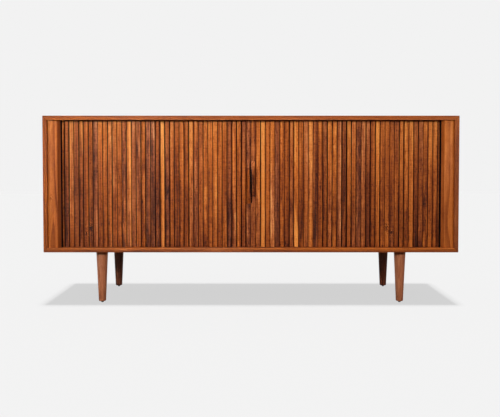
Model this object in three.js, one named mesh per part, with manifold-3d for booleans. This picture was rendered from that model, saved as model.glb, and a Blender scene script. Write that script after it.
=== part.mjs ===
// A tambour door cabinet: a mitred walnut case on four turned legs. Two curtains of upright slats run
// in tracks routed into the top and bottom panels: along the front, round the front corners, along
// the sides, round the back corners and on behind a false back.
// Lengths are in millimetres. X runs along the front, Y from the front to the back, and Z up.
// The origin is on the floor under the middle of the case.

import * as THREE from 'three';
import { mergeVertices } from 'three/addons/utils/BufferGeometryUtils.js';
import Module from 'manifold-3d';

const wasm = await Module();
wasm.setup();

// Case
const caseWidth = 1800;
const caseDepth = 460;
const caseHeight = 592;
const boardThickness = 18;
const mitreGap = 0.3;
const splineThickness = 3;
const splineWidth = 12;
const splineClearance = 0.3;
const splineStop = 16;
const backThickness = 9;
const backInset = 6;
const backFit = 0.3;

// Front jambs
const jambWidth = 55;
const jambThickness = 17;
const jambSetback = 12;
const jambBevel = 11;

// Black fillets glued to the jambs' inner edges, which close the line of sight behind the jambs
const filletWidth = 6;
const filletThickness = 4;

// Slats, and the cloth that joins them
const slatPitch = 20.9;
const slatGap = 0.6;
const slatThickness = 11;
const slatBevel = 1.8;
const slatEndClearance = 1.5;
const slatFaceClearance = 1;
const clothThickness = 0.8;
const clothLap = 10;
const clothLapGap = 0.3;
const tailCover = 50;

// Tongues on the slats, and the track that they run in
const tongueWidth = 13;
const tongueThickness = 4.7;
const tongueFloorGap = 0.3;
const tongueRoofGap = 1.5;
const grooveDepth = 8;
const grooveClearance = 0.8;
const trackRadius = 50;
const trackWallClearance = 2;
const trackSpare = 12;
const arcSteps = 12;

// Pulls on the lead slats: a broad head that narrows to a thin tail. The right one has its head up and
// the left one, the same piece turned round, has it down, so that the pair stands staggered.
const pullLength = 156;
const pullCentreLift = 303;
const pullStagger = 31.5;
const pullWidth = 19;
const pullCrest = 17;
const pullHeadDepth = 4;
const pullTailDepth = 3;
const pullHeadEdge = 0.5;
const pullWaistEdge = 3.8;
const pullTailEdge = 6.5;
const pullHeadFace = 12;
const pullTailFace = 1.5;
const pullArris = 1.4;
const pullJambClearance = 8;
const pullSections = 16;
const pullCrestShare = 0.2;
const pullWaistShare = 0.36;
const pullFaceShare = 0.5;
const pullBulgeShare = 0.12;

// The finger recess, cut into both lead slats between the pulls
const recessWidth = 10;
const recessDepth = 7;
const recessEndMargin = 2;
const recessSteps = 8;

// Linings that keep the stored goods off the curtains
const liningThickness = 9;
const liningClearance = 6;

// Dividers, shelves and shelf pins
const dividerThickness = 18;
const bayCount = 3;
const shelfThickness = 18;
const shelfSideClearance = 1.5;
const shelfFrontSetback = 12;
const shelfBackClearance = 2;
const shelfLift = 262;
const pinDiameter = 5;
const pinLength = 16;
const pinHoleDepth = 7;
const pinHoleClearance = 0.3;
const pinInset = 50;
const pinSides = 8;
const pinHolesInRow = 5;
const pinHolePitch = 32;

// Legs, glides, hanger bolts and threaded inserts
const legHeight = 224;
const legTopDiameter = 51;
const legFootDiameter = 31.5;
const legFootRound = 3;
const legSides = 32;
const legRoundSteps = 4;
const legInsetX = 240;
const legInsetY = 60;
const glideDiameter = 11;
const glideHeight = 6;
const glideRound = 1.5;
const glideSides = 20;
const boltDiameter = 8;
const boltLegLength = 40;
const boltClearance = 0.3;
const boltSides = 16;
const insertDiameter = 14;
const insertDepth = 12;
const insertClearance = 0.3;
const boltTipGap = 1;

// How far a cutting solid runs past the face that it cuts
const overrun = 4;

// Levels and places that follow from the sizes
const caseBottom = glideHeight + legHeight;
const caseTop = caseBottom + caseHeight;
const floorLevel = caseBottom + boardThickness;
const roofLevel = caseTop - boardThickness;
const frontY = -caseDepth / 2;
const innerHalfWidth = caseWidth / 2 - boardThickness;
const openingHalfWidth = innerHalfWidth - jambWidth;
const backPanelY = caseDepth / 2 - backInset - backThickness;
const jambBackY = frontY + jambSetback + jambThickness;
const slatFaceY = jambBackY + slatFaceClearance;

// The track line is the back of the cloth: this far from the walls that the slats pass
const slatReach = slatThickness + trackWallClearance;
const frontRunY = slatFaceY + slatThickness;
const sideRunX = innerHalfWidth - slatReach;
const backRunY = backPanelY - slatReach;
const arcCentreX = sideRunX - trackRadius;
const frontArcY = frontRunY + trackRadius;
const backArcY = backRunY - trackRadius;
const arcLength = trackRadius * Math.PI / 2;

// The lead slat, and as many slats behind it as reach from it past the jamb
const curtainSlats = Math.ceil((openingHalfWidth + tailCover) / slatPitch) - 1;
const curtainEnd = (curtainSlats + 1) * slatPitch;
const doorTravel = openingHalfWidth - pullWidth - pullJambClearance;
const frontRunEnd = arcCentreX;
const sideRunStart = frontRunEnd + arcLength;
const sideRunEnd = sideRunStart + backArcY - frontArcY;
const backRunStart = sideRunEnd + arcLength;
const trackEnd = Math.max(curtainEnd + doorTravel + trackSpare, backRunStart + trackSpare);

// The linings stand clear of the cloth at the corners, where the track cuts the corner
const liningInset = trackRadius * (1 - Math.SQRT1_2) + liningClearance;
const liningSideX = sideRunX - liningInset;
const liningBackY = backRunY - liningInset;
const liningFrontY = frontRunY + liningInset;
const bayBackY = liningBackY - liningThickness;
const bayHalfWidth = liningSideX - liningThickness;
const bayWidth = (2 * bayHalfWidth - (bayCount - 1) * dividerThickness) / bayCount;

// Finishes
const walnutPanel = finish(0x7a4a2c, 0.5);
const walnutSlat = finish(0x83502f, 0.5);
const walnutInside = finish(0x6f4429, 0.6);
const walnutLeg = finish(0x4f3020, 0.5);
const beechPly = finish(0xc9a679, 0.7);
const steel = finish(0x9a9a98, 0.35, 1);
const blackPlastic = finish(0x1c1c1c, 0.6);
const blackStain = finish(0x120c0a, 0.6);

function finish(color, roughness, metalness = 0) {
  return new THREE.MeshStandardMaterial({ color, roughness, metalness });
}

// Solids

function toSolid(geometry) {
  const merged = mergeVertices(withoutNormals(geometry));
  return new wasm.Manifold(new wasm.Mesh({
    numProp: 3,
    vertProperties: new Float32Array(merged.attributes.position.array),
    triVerts: new Uint32Array(merged.index.array),
  }));
}

function toGeometry(solid) {
  const mesh = solid.getMesh();
  const geometry = new THREE.BufferGeometry();
  geometry.setAttribute('position', new THREE.BufferAttribute(mesh.vertProperties, 3));
  geometry.setIndex(new THREE.BufferAttribute(mesh.triVerts, 1));
  geometry.computeVertexNormals();
  return geometry;
}

function cutAway(geometry, cutters) {
  const solid = cutters.reduce((left, cutter) => left.subtract(toSolid(cutter)), toSolid(geometry));
  return toGeometry(solid);
}

function joined(geometries) {
  const solids = geometries.map(toSolid);
  return toGeometry(solids.reduce((whole, piece) => whole.add(piece)));
}

// The same shape on the other side of the middle of the case
function mirrored(geometry) {
  const twin = mergeVertices(withoutNormals(geometry));
  twin.scale(-1, 1, 1);
  const order = twin.index.array;
  for (let i = 0; i < order.length; i += 3) {
    [order[i + 1], order[i + 2]] = [order[i + 2], order[i + 1]];
  }
  twin.computeVertexNormals();
  return twin;
}

function withoutNormals(geometry) {
  const bare = geometry.clone();
  bare.deleteAttribute('normal');
  bare.deleteAttribute('uv');
  return bare;
}

function block(x0, x1, y0, y1, z0, z1) {
  const geometry = new THREE.BoxGeometry(x1 - x0, y1 - y0, z1 - z0);
  geometry.translate((x0 + x1) / 2, (y0 + y1) / 2, (z0 + z1) / 2);
  return geometry;
}

function shapeOf(points) {
  return new THREE.Shape(points.map(([u, v]) => new THREE.Vector2(u, v)));
}

// An outline seen from above, raised from one level to another
function upright(points, z0, z1) {
  const geometry = new THREE.ExtrudeGeometry(shapeOf(points), { depth: z1 - z0, bevelEnabled: false });
  geometry.translate(0, 0, z0);
  return geometry;
}

// An outline seen from the front, carried from the front of the case to its back
function frontToBack(points) {
  const geometry = new THREE.ExtrudeGeometry(shapeOf(points), { depth: caseDepth, bevelEnabled: false });
  geometry.rotateX(Math.PI / 2);
  geometry.translate(0, caseDepth / 2, 0);
  return geometry;
}

// A turned piece with its axis along Z
function turned(points, sides) {
  const profile = points.map(([radius, height]) => new THREE.Vector2(radius, height));
  const geometry = new THREE.LatheGeometry(profile, sides);
  geometry.rotateX(Math.PI / 2);
  return geometry;
}

// The points of a quarter round, from its low point to its side
function quarterRound(radius, round, steps) {
  const points = [];
  for (let i = 0; i <= steps; i += 1) {
    const angle = Math.PI / 2 * i / steps;
    points.push([radius - round + round * Math.sin(angle), round - round * Math.cos(angle)]);
  }
  return points;
}

function add(group, name, geometry, material) {
  const mesh = new THREE.Mesh(geometry, material);
  mesh.name = name;
  group.add(mesh);
  return mesh;
}

// The track

// The place and heading of a point on the right-hand track, by its distance from the middle
function trackPlace(distance) {
  if (distance <= frontRunEnd) {
    return { x: distance, y: frontRunY, heading: 0 };
  }
  if (distance <= sideRunStart) {
    return arcPlace(frontArcY, (distance - frontRunEnd) / trackRadius);
  }
  if (distance <= sideRunEnd) {
    return { x: sideRunX, y: frontArcY + distance - sideRunStart, heading: Math.PI / 2 };
  }
  if (distance <= backRunStart) {
    return arcPlace(backArcY, Math.PI / 2 + (distance - sideRunEnd) / trackRadius);
  }
  return { x: arcCentreX - (distance - backRunStart), y: backRunY, heading: Math.PI };
}

function arcPlace(centreY, heading) {
  return {
    x: arcCentreX + trackRadius * Math.sin(heading),
    y: centreY - trackRadius * Math.cos(heading),
    heading,
  };
}

// A point beside the track: along its heading, and outwards from the cloth to the slat's face
function besideTrack(distance, along, outward) {
  const { x, y, heading } = trackPlace(distance);
  const cos = Math.cos(heading);
  const sin = Math.sin(heading);
  return [x + along * cos + outward * sin, y + along * sin - outward * cos];
}

function trackStops() {
  const stops = [-overrun];
  for (const start of [frontRunEnd, sideRunEnd]) {
    for (let i = 0; i <= arcSteps; i += 1) {
      stops.push(start + arcLength * i / arcSteps);
    }
  }
  return [...stops, trackEnd];
}

function grooveCutter(z0, z1) {
  const inner = clothThickness - grooveClearance;
  const outer = clothThickness + tongueThickness + grooveClearance;
  const stops = trackStops();
  const points = [
    ...stops.map((stop) => besideTrack(stop, 0, outer)),
    ...stops.reverse().map((stop) => besideTrack(stop, 0, inner)),
  ];
  return upright(points, z0, z1);
}

function grooveCutters(z0, z1) {
  const right = grooveCutter(z0, z1);
  return [right, mirrored(right)];
}

// Case

function topPanel() {
  const half = caseWidth / 2;
  const board = frontToBack([
    [-half, caseTop], [-innerHalfWidth, roofLevel], [innerHalfWidth, roofLevel], [half, caseTop],
  ]);
  return cutAway(board, [
    ...grooveCutters(roofLevel - overrun, roofLevel + grooveDepth), ...splineKerfs(1),
  ]);
}

function bottomPanel() {
  const half = caseWidth / 2;
  const board = frontToBack([
    [-half, caseBottom], [half, caseBottom], [innerHalfWidth, floorLevel], [-innerHalfWidth, floorLevel],
  ]);
  const sockets = legPlaces().map(({ x, y }) => insertSocket(x, y));
  return cutAway(board, [
    ...grooveCutters(floorLevel - grooveDepth, floorLevel + overrun), ...splineKerfs(-1), ...sockets,
  ]);
}

function sidePanel() {
  const half = caseWidth / 2;
  const gap = mitreGap * Math.SQRT2;
  const board = frontToBack([
    [half, caseBottom + gap], [half, caseTop - gap],
    [innerHalfWidth, roofLevel - gap], [innerHalfWidth, floorLevel + gap],
  ]);
  return cutAway(board, [splineKerf(1), splineKerf(-1)]);
}

// A spline across the middle of a right-hand mitre, square to the glue face; level is 1 at the top and -1
// at the bottom. It stops short of the front and back edges, so that it doesn't show.
function splineBar(level, clearance) {
  const bar = new THREE.BoxGeometry(
    splineWidth + 2 * clearance, caseDepth - 2 * splineStop + 2 * clearance, splineThickness + 2 * clearance,
  );
  bar.rotateY(level * Math.PI / 4);
  const centreZ = level > 0 ? caseTop - boardThickness / 2 : caseBottom + boardThickness / 2;
  bar.translate(caseWidth / 2 - boardThickness / 2, 0, centreZ);
  return bar;
}

function splineKerf(level) {
  return splineBar(level, splineClearance);
}

function splineKerfs(level) {
  return [splineKerf(level), mirrored(splineKerf(level))];
}

function backPanel() {
  const half = innerHalfWidth - backFit;
  return block(-half, half, backPanelY, backPanelY + backThickness, floorLevel, roofLevel);
}

function jamb() {
  const jambFrontY = frontY + jambSetback;
  return upright([
    [innerHalfWidth, jambFrontY], [innerHalfWidth, jambBackY], [openingHalfWidth, jambBackY],
    [openingHalfWidth, jambFrontY + jambBevel], [openingHalfWidth + jambBevel, jambFrontY],
  ], floorLevel, roofLevel);
}

function jambFillet() {
  return block(openingHalfWidth - filletWidth, openingHalfWidth, jambBackY - filletThickness, jambBackY,
    floorLevel, roofLevel);
}

function buildCase() {
  const group = new THREE.Group();
  add(group, 'top_panel', topPanel(), walnutPanel);
  add(group, 'bottom_panel', bottomPanel(), walnutPanel);
  add(group, 'right_side_panel', sidePanel(), walnutPanel);
  add(group, 'left_side_panel', mirrored(sidePanel()), walnutPanel);
  add(group, 'back_panel', backPanel(), walnutInside);
  add(group, 'right_jamb', jamb(), walnutPanel);
  add(group, 'left_jamb', mirrored(jamb()), walnutPanel);
  add(group, 'right_jamb_fillet', jambFillet(), blackStain);
  add(group, 'left_jamb_fillet', mirrored(jambFillet()), blackStain);
  for (const [end, level] of [['top', 1], ['bottom', -1]]) {
    add(group, `${end}_right_spline`, splineBar(level, 0), beechPly);
    add(group, `${end}_left_spline`, mirrored(splineBar(level, 0)), beechPly);
  }
  return group;
}

// Inside

function bayCentre(bay) {
  return (bay - (bayCount - 1) / 2) * (bayWidth + dividerThickness);
}

function pinHeight() {
  return floorLevel + shelfLift;
}

// A pin, or the cutter of its hole, that goes from the wall's face into the wall
function pinAt(faceX, intoWall, y, z, length, diameter) {
  const geometry = new THREE.CylinderGeometry(diameter / 2, diameter / 2, length, pinSides);
  geometry.rotateY(Math.PI / pinSides);
  geometry.rotateZ(Math.PI / 2);
  geometry.translate(faceX + intoWall * (pinHoleDepth - length / 2), y, z);
  return geometry;
}

function pinRows() {
  return [liningFrontY + shelfFrontSetback + pinInset, bayBackY - pinInset];
}

// Two upright rows of holes, so that the shelf can be set higher or lower
function pinHoles(faceX, intoWall) {
  const bore = pinDiameter + 2 * pinHoleClearance;
  const holes = [];
  for (const y of pinRows()) {
    for (let i = 0; i < pinHolesInRow; i += 1) {
      const z = pinHeight() + (i - (pinHolesInRow - 1) / 2) * pinHolePitch;
      holes.push(pinAt(faceX, intoWall, y, z, pinHoleDepth + overrun, bore));
    }
  }
  return holes;
}

function sideLining() {
  const board = block(bayHalfWidth, liningSideX, liningFrontY, bayBackY, floorLevel, roofLevel);
  return cutAway(board, pinHoles(bayHalfWidth, 1));
}

function backLining() {
  return block(-liningSideX, liningSideX, bayBackY, liningBackY, floorLevel, roofLevel);
}

function divider(centreX) {
  const left = centreX - dividerThickness / 2;
  const right = centreX + dividerThickness / 2;
  const board = block(left, right, liningFrontY, bayBackY, floorLevel, roofLevel);
  return cutAway(board, [...pinHoles(left, 1), ...pinHoles(right, -1)]);
}

function shelf(centreX) {
  const half = bayWidth / 2 - shelfSideClearance;
  const bottom = pinHeight() + pinDiameter / 2 * Math.cos(Math.PI / pinSides);
  return block(centreX - half, centreX + half, liningFrontY + shelfFrontSetback,
    bayBackY - shelfBackClearance, bottom, bottom + shelfThickness);
}

function addShelfPins(group, bayName, centreX) {
  let count = 0;
  for (const side of [-1, 1]) {
    for (const y of pinRows()) {
      count += 1;
      const pin = pinAt(centreX + side * bayWidth / 2, side, y, pinHeight(), pinLength, pinDiameter);
      add(group, `${bayName}_shelf_pin_${count}`, pin, steel);
    }
  }
}

function buildInside() {
  const group = new THREE.Group();
  add(group, 'right_side_lining', sideLining(), walnutInside);
  add(group, 'left_side_lining', mirrored(sideLining()), walnutInside);
  add(group, 'back_lining', backLining(), walnutInside);
  const dividerX = (bayWidth + dividerThickness) / 2;
  add(group, 'left_divider', divider(-dividerX), walnutInside);
  add(group, 'right_divider', divider(dividerX), walnutInside);
  ['left', 'middle', 'right'].forEach((bayName, bay) => {
    add(group, `${bayName}_shelf`, shelf(bayCentre(bay)), walnutInside);
    addShelfPins(group, bayName, bayCentre(bay));
  });
  return group;
}

// Doors

// One slat's outline beside the track: two straight sides and a flat face with two bevels
function slatOutline(number, inner) {
  const centre = (number + 1 / 2) * slatPitch;
  const half = (slatPitch - slatGap) / 2;
  const shoulder = slatThickness - slatBevel;
  return [
    [-half, inner], [-half, shoulder], [-half + slatBevel, slatThickness],
    [half - slatBevel, slatThickness], [half, shoulder], [half, inner],
  ].map(([along, outward]) => besideTrack(centre, along, outward));
}

function tongue(number, inner) {
  const centre = (number + 1 / 2) * slatPitch;
  const half = tongueWidth / 2;
  const outer = clothThickness + tongueThickness;
  const points = [[-half, inner], [half, inner], [half, outer], [-half, outer]]
    .map(([along, outward]) => besideTrack(centre, along, outward));
  const low = floorLevel - grooveDepth + tongueFloorGap;
  const high = roofLevel + grooveDepth - tongueRoofGap;
  return upright(points, low, high);
}

function slatBody(points) {
  return upright(points, floorLevel + slatEndClearance, roofLevel - slatEndClearance);
}

function leadSlat() {
  const inner = clothThickness + clothLapGap;
  return cutAway(joined([slatBody(slatOutline(0, inner)), tongue(0, inner)]), [fingerRecess()]);
}

function pullCentreZ() {
  return caseBottom + pullCentreLift;
}

// A slot with round ends, over the line where the lead slats meet
function fingerRecess() {
  const radius = recessWidth / 2;
  const reach = (pullLength + pullStagger) / 2 - recessEndMargin - radius;
  const shape = new THREE.Shape();
  shape.absarc(0, pullCentreZ() + reach, radius, 0, Math.PI);
  shape.absarc(0, pullCentreZ() - reach, radius, Math.PI, 2 * Math.PI);
  const geometry = new THREE.ExtrudeGeometry(shape, {
    depth: recessDepth + overrun, bevelEnabled: false, curveSegments: recessSteps,
  });
  geometry.rotateX(Math.PI / 2);
  geometry.translate(0, slatFaceY + recessDepth, 0);
  return geometry;
}

// The cloth's back, from the tail to its lap behind the lead slat
function clothBack() {
  const points = [];
  for (let half = 2 * (curtainSlats + 1); half >= 2; half -= 1) {
    const distance = half * slatPitch / 2;
    const onEdge = half === 2 * (curtainSlats + 1);
    points.push(besideTrack(onEdge ? distance - slatGap / 2 : distance, 0, 0));
  }
  return points;
}

function curtain() {
  const outline = [
    besideTrack(slatPitch, -clothLap, 0),
    besideTrack(slatPitch, -clothLap, clothThickness),
  ];
  for (let number = 1; number <= curtainSlats; number += 1) {
    outline.push(...slatOutline(number, clothThickness));
  }
  const tongues = [];
  for (let number = 1; number <= curtainSlats; number += 1) {
    tongues.push(tongue(number, clothThickness));
  }
  return joined([slatBody([...outline, ...clothBack()]), ...tongues]);
}

// How far the pull stands out, at a share of its length from the head: it rises fast to the crest
// and then falls away to the tail
function pullDepth(lengthShare) {
  if (lengthShare < pullCrestShare) {
    const rise = Math.sin(Math.PI / 2 * lengthShare / pullCrestShare);
    return THREE.MathUtils.lerp(pullHeadDepth, pullCrest, rise);
  }
  const fall = (lengthShare - pullCrestShare) / (1 - pullCrestShare);
  return THREE.MathUtils.lerp(pullCrest, pullTailDepth, Math.pow(fall, 3 / 2));
}

// The edge beside the finger recess: out at the head, drawn in at the waist and further at the tail
function pullEdge(lengthShare) {
  const waist = THREE.MathUtils.smoothstep(lengthShare, pullCrestShare / 2, pullWaistShare);
  const tail = Math.max(0, (lengthShare - pullWaistShare) / (1 - pullWaistShare));
  return pullHeadEdge + waist * (pullWaistEdge - pullHeadEdge) + tail * (pullTailEdge - pullWaistEdge);
}

// The pull's outline seen from above, from the recess round to its outer edge
function pullOutline(lengthShare) {
  const edge = pullEdge(lengthShare);
  const narrowing = THREE.MathUtils.smoothstep(lengthShare, pullCrestShare / 2, pullFaceShare);
  const faceEnd = edge + pullArris + THREE.MathUtils.lerp(pullHeadFace, pullTailFace, narrowing);
  const depth = pullDepth(lengthShare);
  const bulge = depth * pullBulgeShare;
  return [
    [edge, 0], [edge, depth - Math.min(pullArris, depth / 2)], [edge + pullArris, depth],
    [faceEnd, depth], [(faceEnd + pullWidth) / 2 + bulge, depth / 2 + bulge], [pullWidth, 0],
  ];
}

// The right-hand pull, with its head up
function pull() {
  const headZ = pullCentreZ() + (pullLength + pullStagger) / 2;
  const rings = [];
  for (let i = pullSections; i >= 0; i -= 1) {
    const lengthShare = i / pullSections;
    const z = headZ - pullLength * lengthShare;
    rings.push(pullOutline(lengthShare).map(([x, out]) => [x, slatFaceY - out, z]));
  }
  return lofted(rings);
}

// The same pull turned half a turn about the middle of the pair
function turnedPull() {
  const geometry = pull();
  geometry.rotateY(Math.PI);
  geometry.translate(0, 0, 2 * pullCentreZ());
  return geometry;
}

// A closed skin through outlines of as many points each, with a flat face at either end
function lofted(rings) {
  const size = rings[0].length;
  const last = rings.length - 1;
  const positions = rings.flat(2);
  const order = [];
  for (let ring = 0; ring < last; ring += 1) {
    for (let point = 0; point < size; point += 1) {
      const a = ring * size + point;
      const b = ring * size + (point + 1) % size;
      order.push(a, b, a + size, b, b + size, a + size);
    }
  }
  for (let point = 1; point < size - 1; point += 1) {
    order.push(0, point + 1, point);
    order.push(last * size, last * size + point, last * size + point + 1);
  }
  const geometry = new THREE.BufferGeometry();
  geometry.setAttribute('position', new THREE.Float32BufferAttribute(positions, 3));
  geometry.setIndex(order);
  geometry.computeVertexNormals();
  return geometry;
}

function buildDoors() {
  const group = new THREE.Group();
  for (const [name, geometry] of [['lead_slat', leadSlat()], ['tambour_curtain', curtain()]]) {
    add(group, `right_${name}`, geometry, walnutSlat);
    add(group, `left_${name}`, mirrored(geometry), walnutSlat);
  }
  add(group, 'right_pull', pull(), walnutSlat);
  add(group, 'left_pull', turnedPull(), walnutSlat);
  return group;
}

// Legs

function legPlaces() {
  const places = [];
  for (const [end, y] of [['front', frontY + legInsetY], ['back', caseDepth / 2 - legInsetY]]) {
    for (const [side, x] of [['left', legInsetX - caseWidth / 2], ['right', caseWidth / 2 - legInsetX]]) {
      places.push({ name: `${end}_${side}`, x, y });
    }
  }
  return places;
}

function leg() {
  const bore = boltDiameter / 2 + boltClearance;
  return turned([
    [0, 0], ...quarterRound(legFootDiameter / 2, legFootRound, legRoundSteps),
    [legTopDiameter / 2, legHeight], [bore, legHeight],
    [bore, legHeight - boltLegLength], [0, legHeight - boltLegLength],
  ], legSides);
}

function glide() {
  return turned([
    [0, 0], ...quarterRound(glideDiameter / 2, glideRound, legRoundSteps),
    [glideDiameter / 2, glideHeight], [0, glideHeight],
  ], glideSides);
}

function hangerBolt() {
  const length = boltLegLength + insertDepth - boltTipGap;
  return turned([[0, 0], [boltDiameter / 2, 0], [boltDiameter / 2, length], [0, length]], boltSides);
}

function threadedInsert() {
  const bore = boltDiameter / 2 + boltClearance;
  const outer = insertDiameter / 2;
  return turned([[bore, 0], [outer, 0], [outer, insertDepth], [bore, insertDepth], [bore, 0]], boltSides);
}

function insertSocket(x, y) {
  const radius = insertDiameter / 2 + insertClearance;
  const socket = turned([
    [0, -overrun], [radius, -overrun], [radius, insertDepth], [0, insertDepth],
  ], boltSides);
  socket.translate(x, y, caseBottom);
  return socket;
}

function buildLegs() {
  const group = new THREE.Group();
  for (const { name, x, y } of legPlaces()) {
    add(group, `${name}_leg`, leg(), walnutLeg).position.set(x, y, glideHeight);
    add(group, `${name}_glide`, glide(), blackPlastic).position.set(x, y, 0);
    add(group, `${name}_hanger_bolt`, hangerBolt(), steel)
      .position.set(x, y, caseBottom - boltLegLength);
    add(group, `${name}_threaded_insert`, threadedInsert(), steel).position.set(x, y, caseBottom);
  }
  return group;
}

const cabinet = new THREE.Group();
cabinet.add(buildCase(), buildInside(), buildDoors(), buildLegs());

export default cabinet;
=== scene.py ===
"""Dresses a walnut tambour door cabinet: its case, its two curtains of slats, its pulls, inside and legs.

Lengths are in metres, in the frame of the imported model: X runs along the front, Y from the front to the
back, and Z up from the floor.
"""

import logging
import math
from dataclasses import dataclass, field
from enum import Enum

import bmesh
import bpy
import numpy as np
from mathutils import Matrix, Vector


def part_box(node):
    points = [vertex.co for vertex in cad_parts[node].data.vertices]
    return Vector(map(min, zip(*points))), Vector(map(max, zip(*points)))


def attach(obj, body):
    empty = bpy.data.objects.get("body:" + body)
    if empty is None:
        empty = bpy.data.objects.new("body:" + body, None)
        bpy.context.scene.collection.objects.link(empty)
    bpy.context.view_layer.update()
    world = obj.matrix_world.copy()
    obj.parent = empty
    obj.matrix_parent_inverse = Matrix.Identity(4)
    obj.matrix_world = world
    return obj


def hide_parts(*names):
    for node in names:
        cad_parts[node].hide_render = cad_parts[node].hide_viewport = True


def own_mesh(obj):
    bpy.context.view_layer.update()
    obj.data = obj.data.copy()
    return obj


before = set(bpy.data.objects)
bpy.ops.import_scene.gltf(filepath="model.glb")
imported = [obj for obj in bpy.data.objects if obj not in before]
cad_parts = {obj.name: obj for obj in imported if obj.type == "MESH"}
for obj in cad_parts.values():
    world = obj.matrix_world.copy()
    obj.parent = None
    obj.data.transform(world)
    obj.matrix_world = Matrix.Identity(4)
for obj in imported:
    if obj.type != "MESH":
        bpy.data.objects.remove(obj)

LOG = logging.getLogger("cabinet")
MM = 0.001

# What wood gets where nothing else is said: how far inside the sapwood it lies, and how far from a knot
HEARTWOOD = -0.02
NO_KNOT = 9.0

Array = np.ndarray
Material = bpy.types.Material
Piece = bpy.types.Object
Socket = bpy.types.NodeSocket
Tree = bpy.types.NodeTree


def linear(tint: str) -> tuple[float, float, float, float]:
    """Turns an sRGB hex colour to linear light.

    Args:
        tint: six hex digits, such as "8e4b24".

    Returns:
        Red, green and blue in linear light, and an alpha of one.
    """
    shares = [int(tint[i:i + 2], 16) / 255 for i in (0, 2, 4)]
    light = [s / 12.92 if s <= 0.04045 else ((s + 0.055) / 1.055) ** 2.4 for s in shares]
    return (*light, 1.0)


def node(tree: Tree, kind: str, links: dict | None = None, **settings) -> bpy.types.NodeOutputs:
    """Adds a shader node with its settings, input values and links.

    Args:
        tree: the node tree that it goes into.
        kind: the node's type name, less the ShaderNode that each one starts with.
        links: for each input, by name or number, its value or the output that feeds it.
        **settings: the node's own properties.

    Returns:
        The new node's outputs.
    """
    made = tree.nodes.new(f"ShaderNode{kind}")
    for name, value in settings.items():
        setattr(made, name, value)
    for socket, value in (links or {}).items():
        if isinstance(value, Socket):
            tree.links.new(value, made.inputs[socket])
        else:
            made.inputs[socket].default_value = value
    return made.outputs


def emptied(owner: bpy.types.ID) -> Tree:
    """Empties the node tree of a material or a world.

    Args:
        owner: the material or the world.

    Returns:
        Its node tree.
    """
    owner.use_nodes = True
    owner.node_tree.nodes.clear()
    return owner.node_tree


# Finishes


@dataclass(frozen=True)
class Finish:
    """A finish, by its name.

    Attributes:
        name: what the real finish is called.
    """

    name: str

    def draw(self, tree: Tree) -> Socket:
        """Draws the finish into a node tree, and gives its shader's output."""
        raise NotImplementedError

    def material(self) -> Material:
        """Makes the material.

        Returns:
            The material.
        """
        made = bpy.data.materials.new(self.name)
        tree = emptied(made)
        node(tree, "OutputMaterial", {0: self.draw(tree)})
        return made


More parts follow.
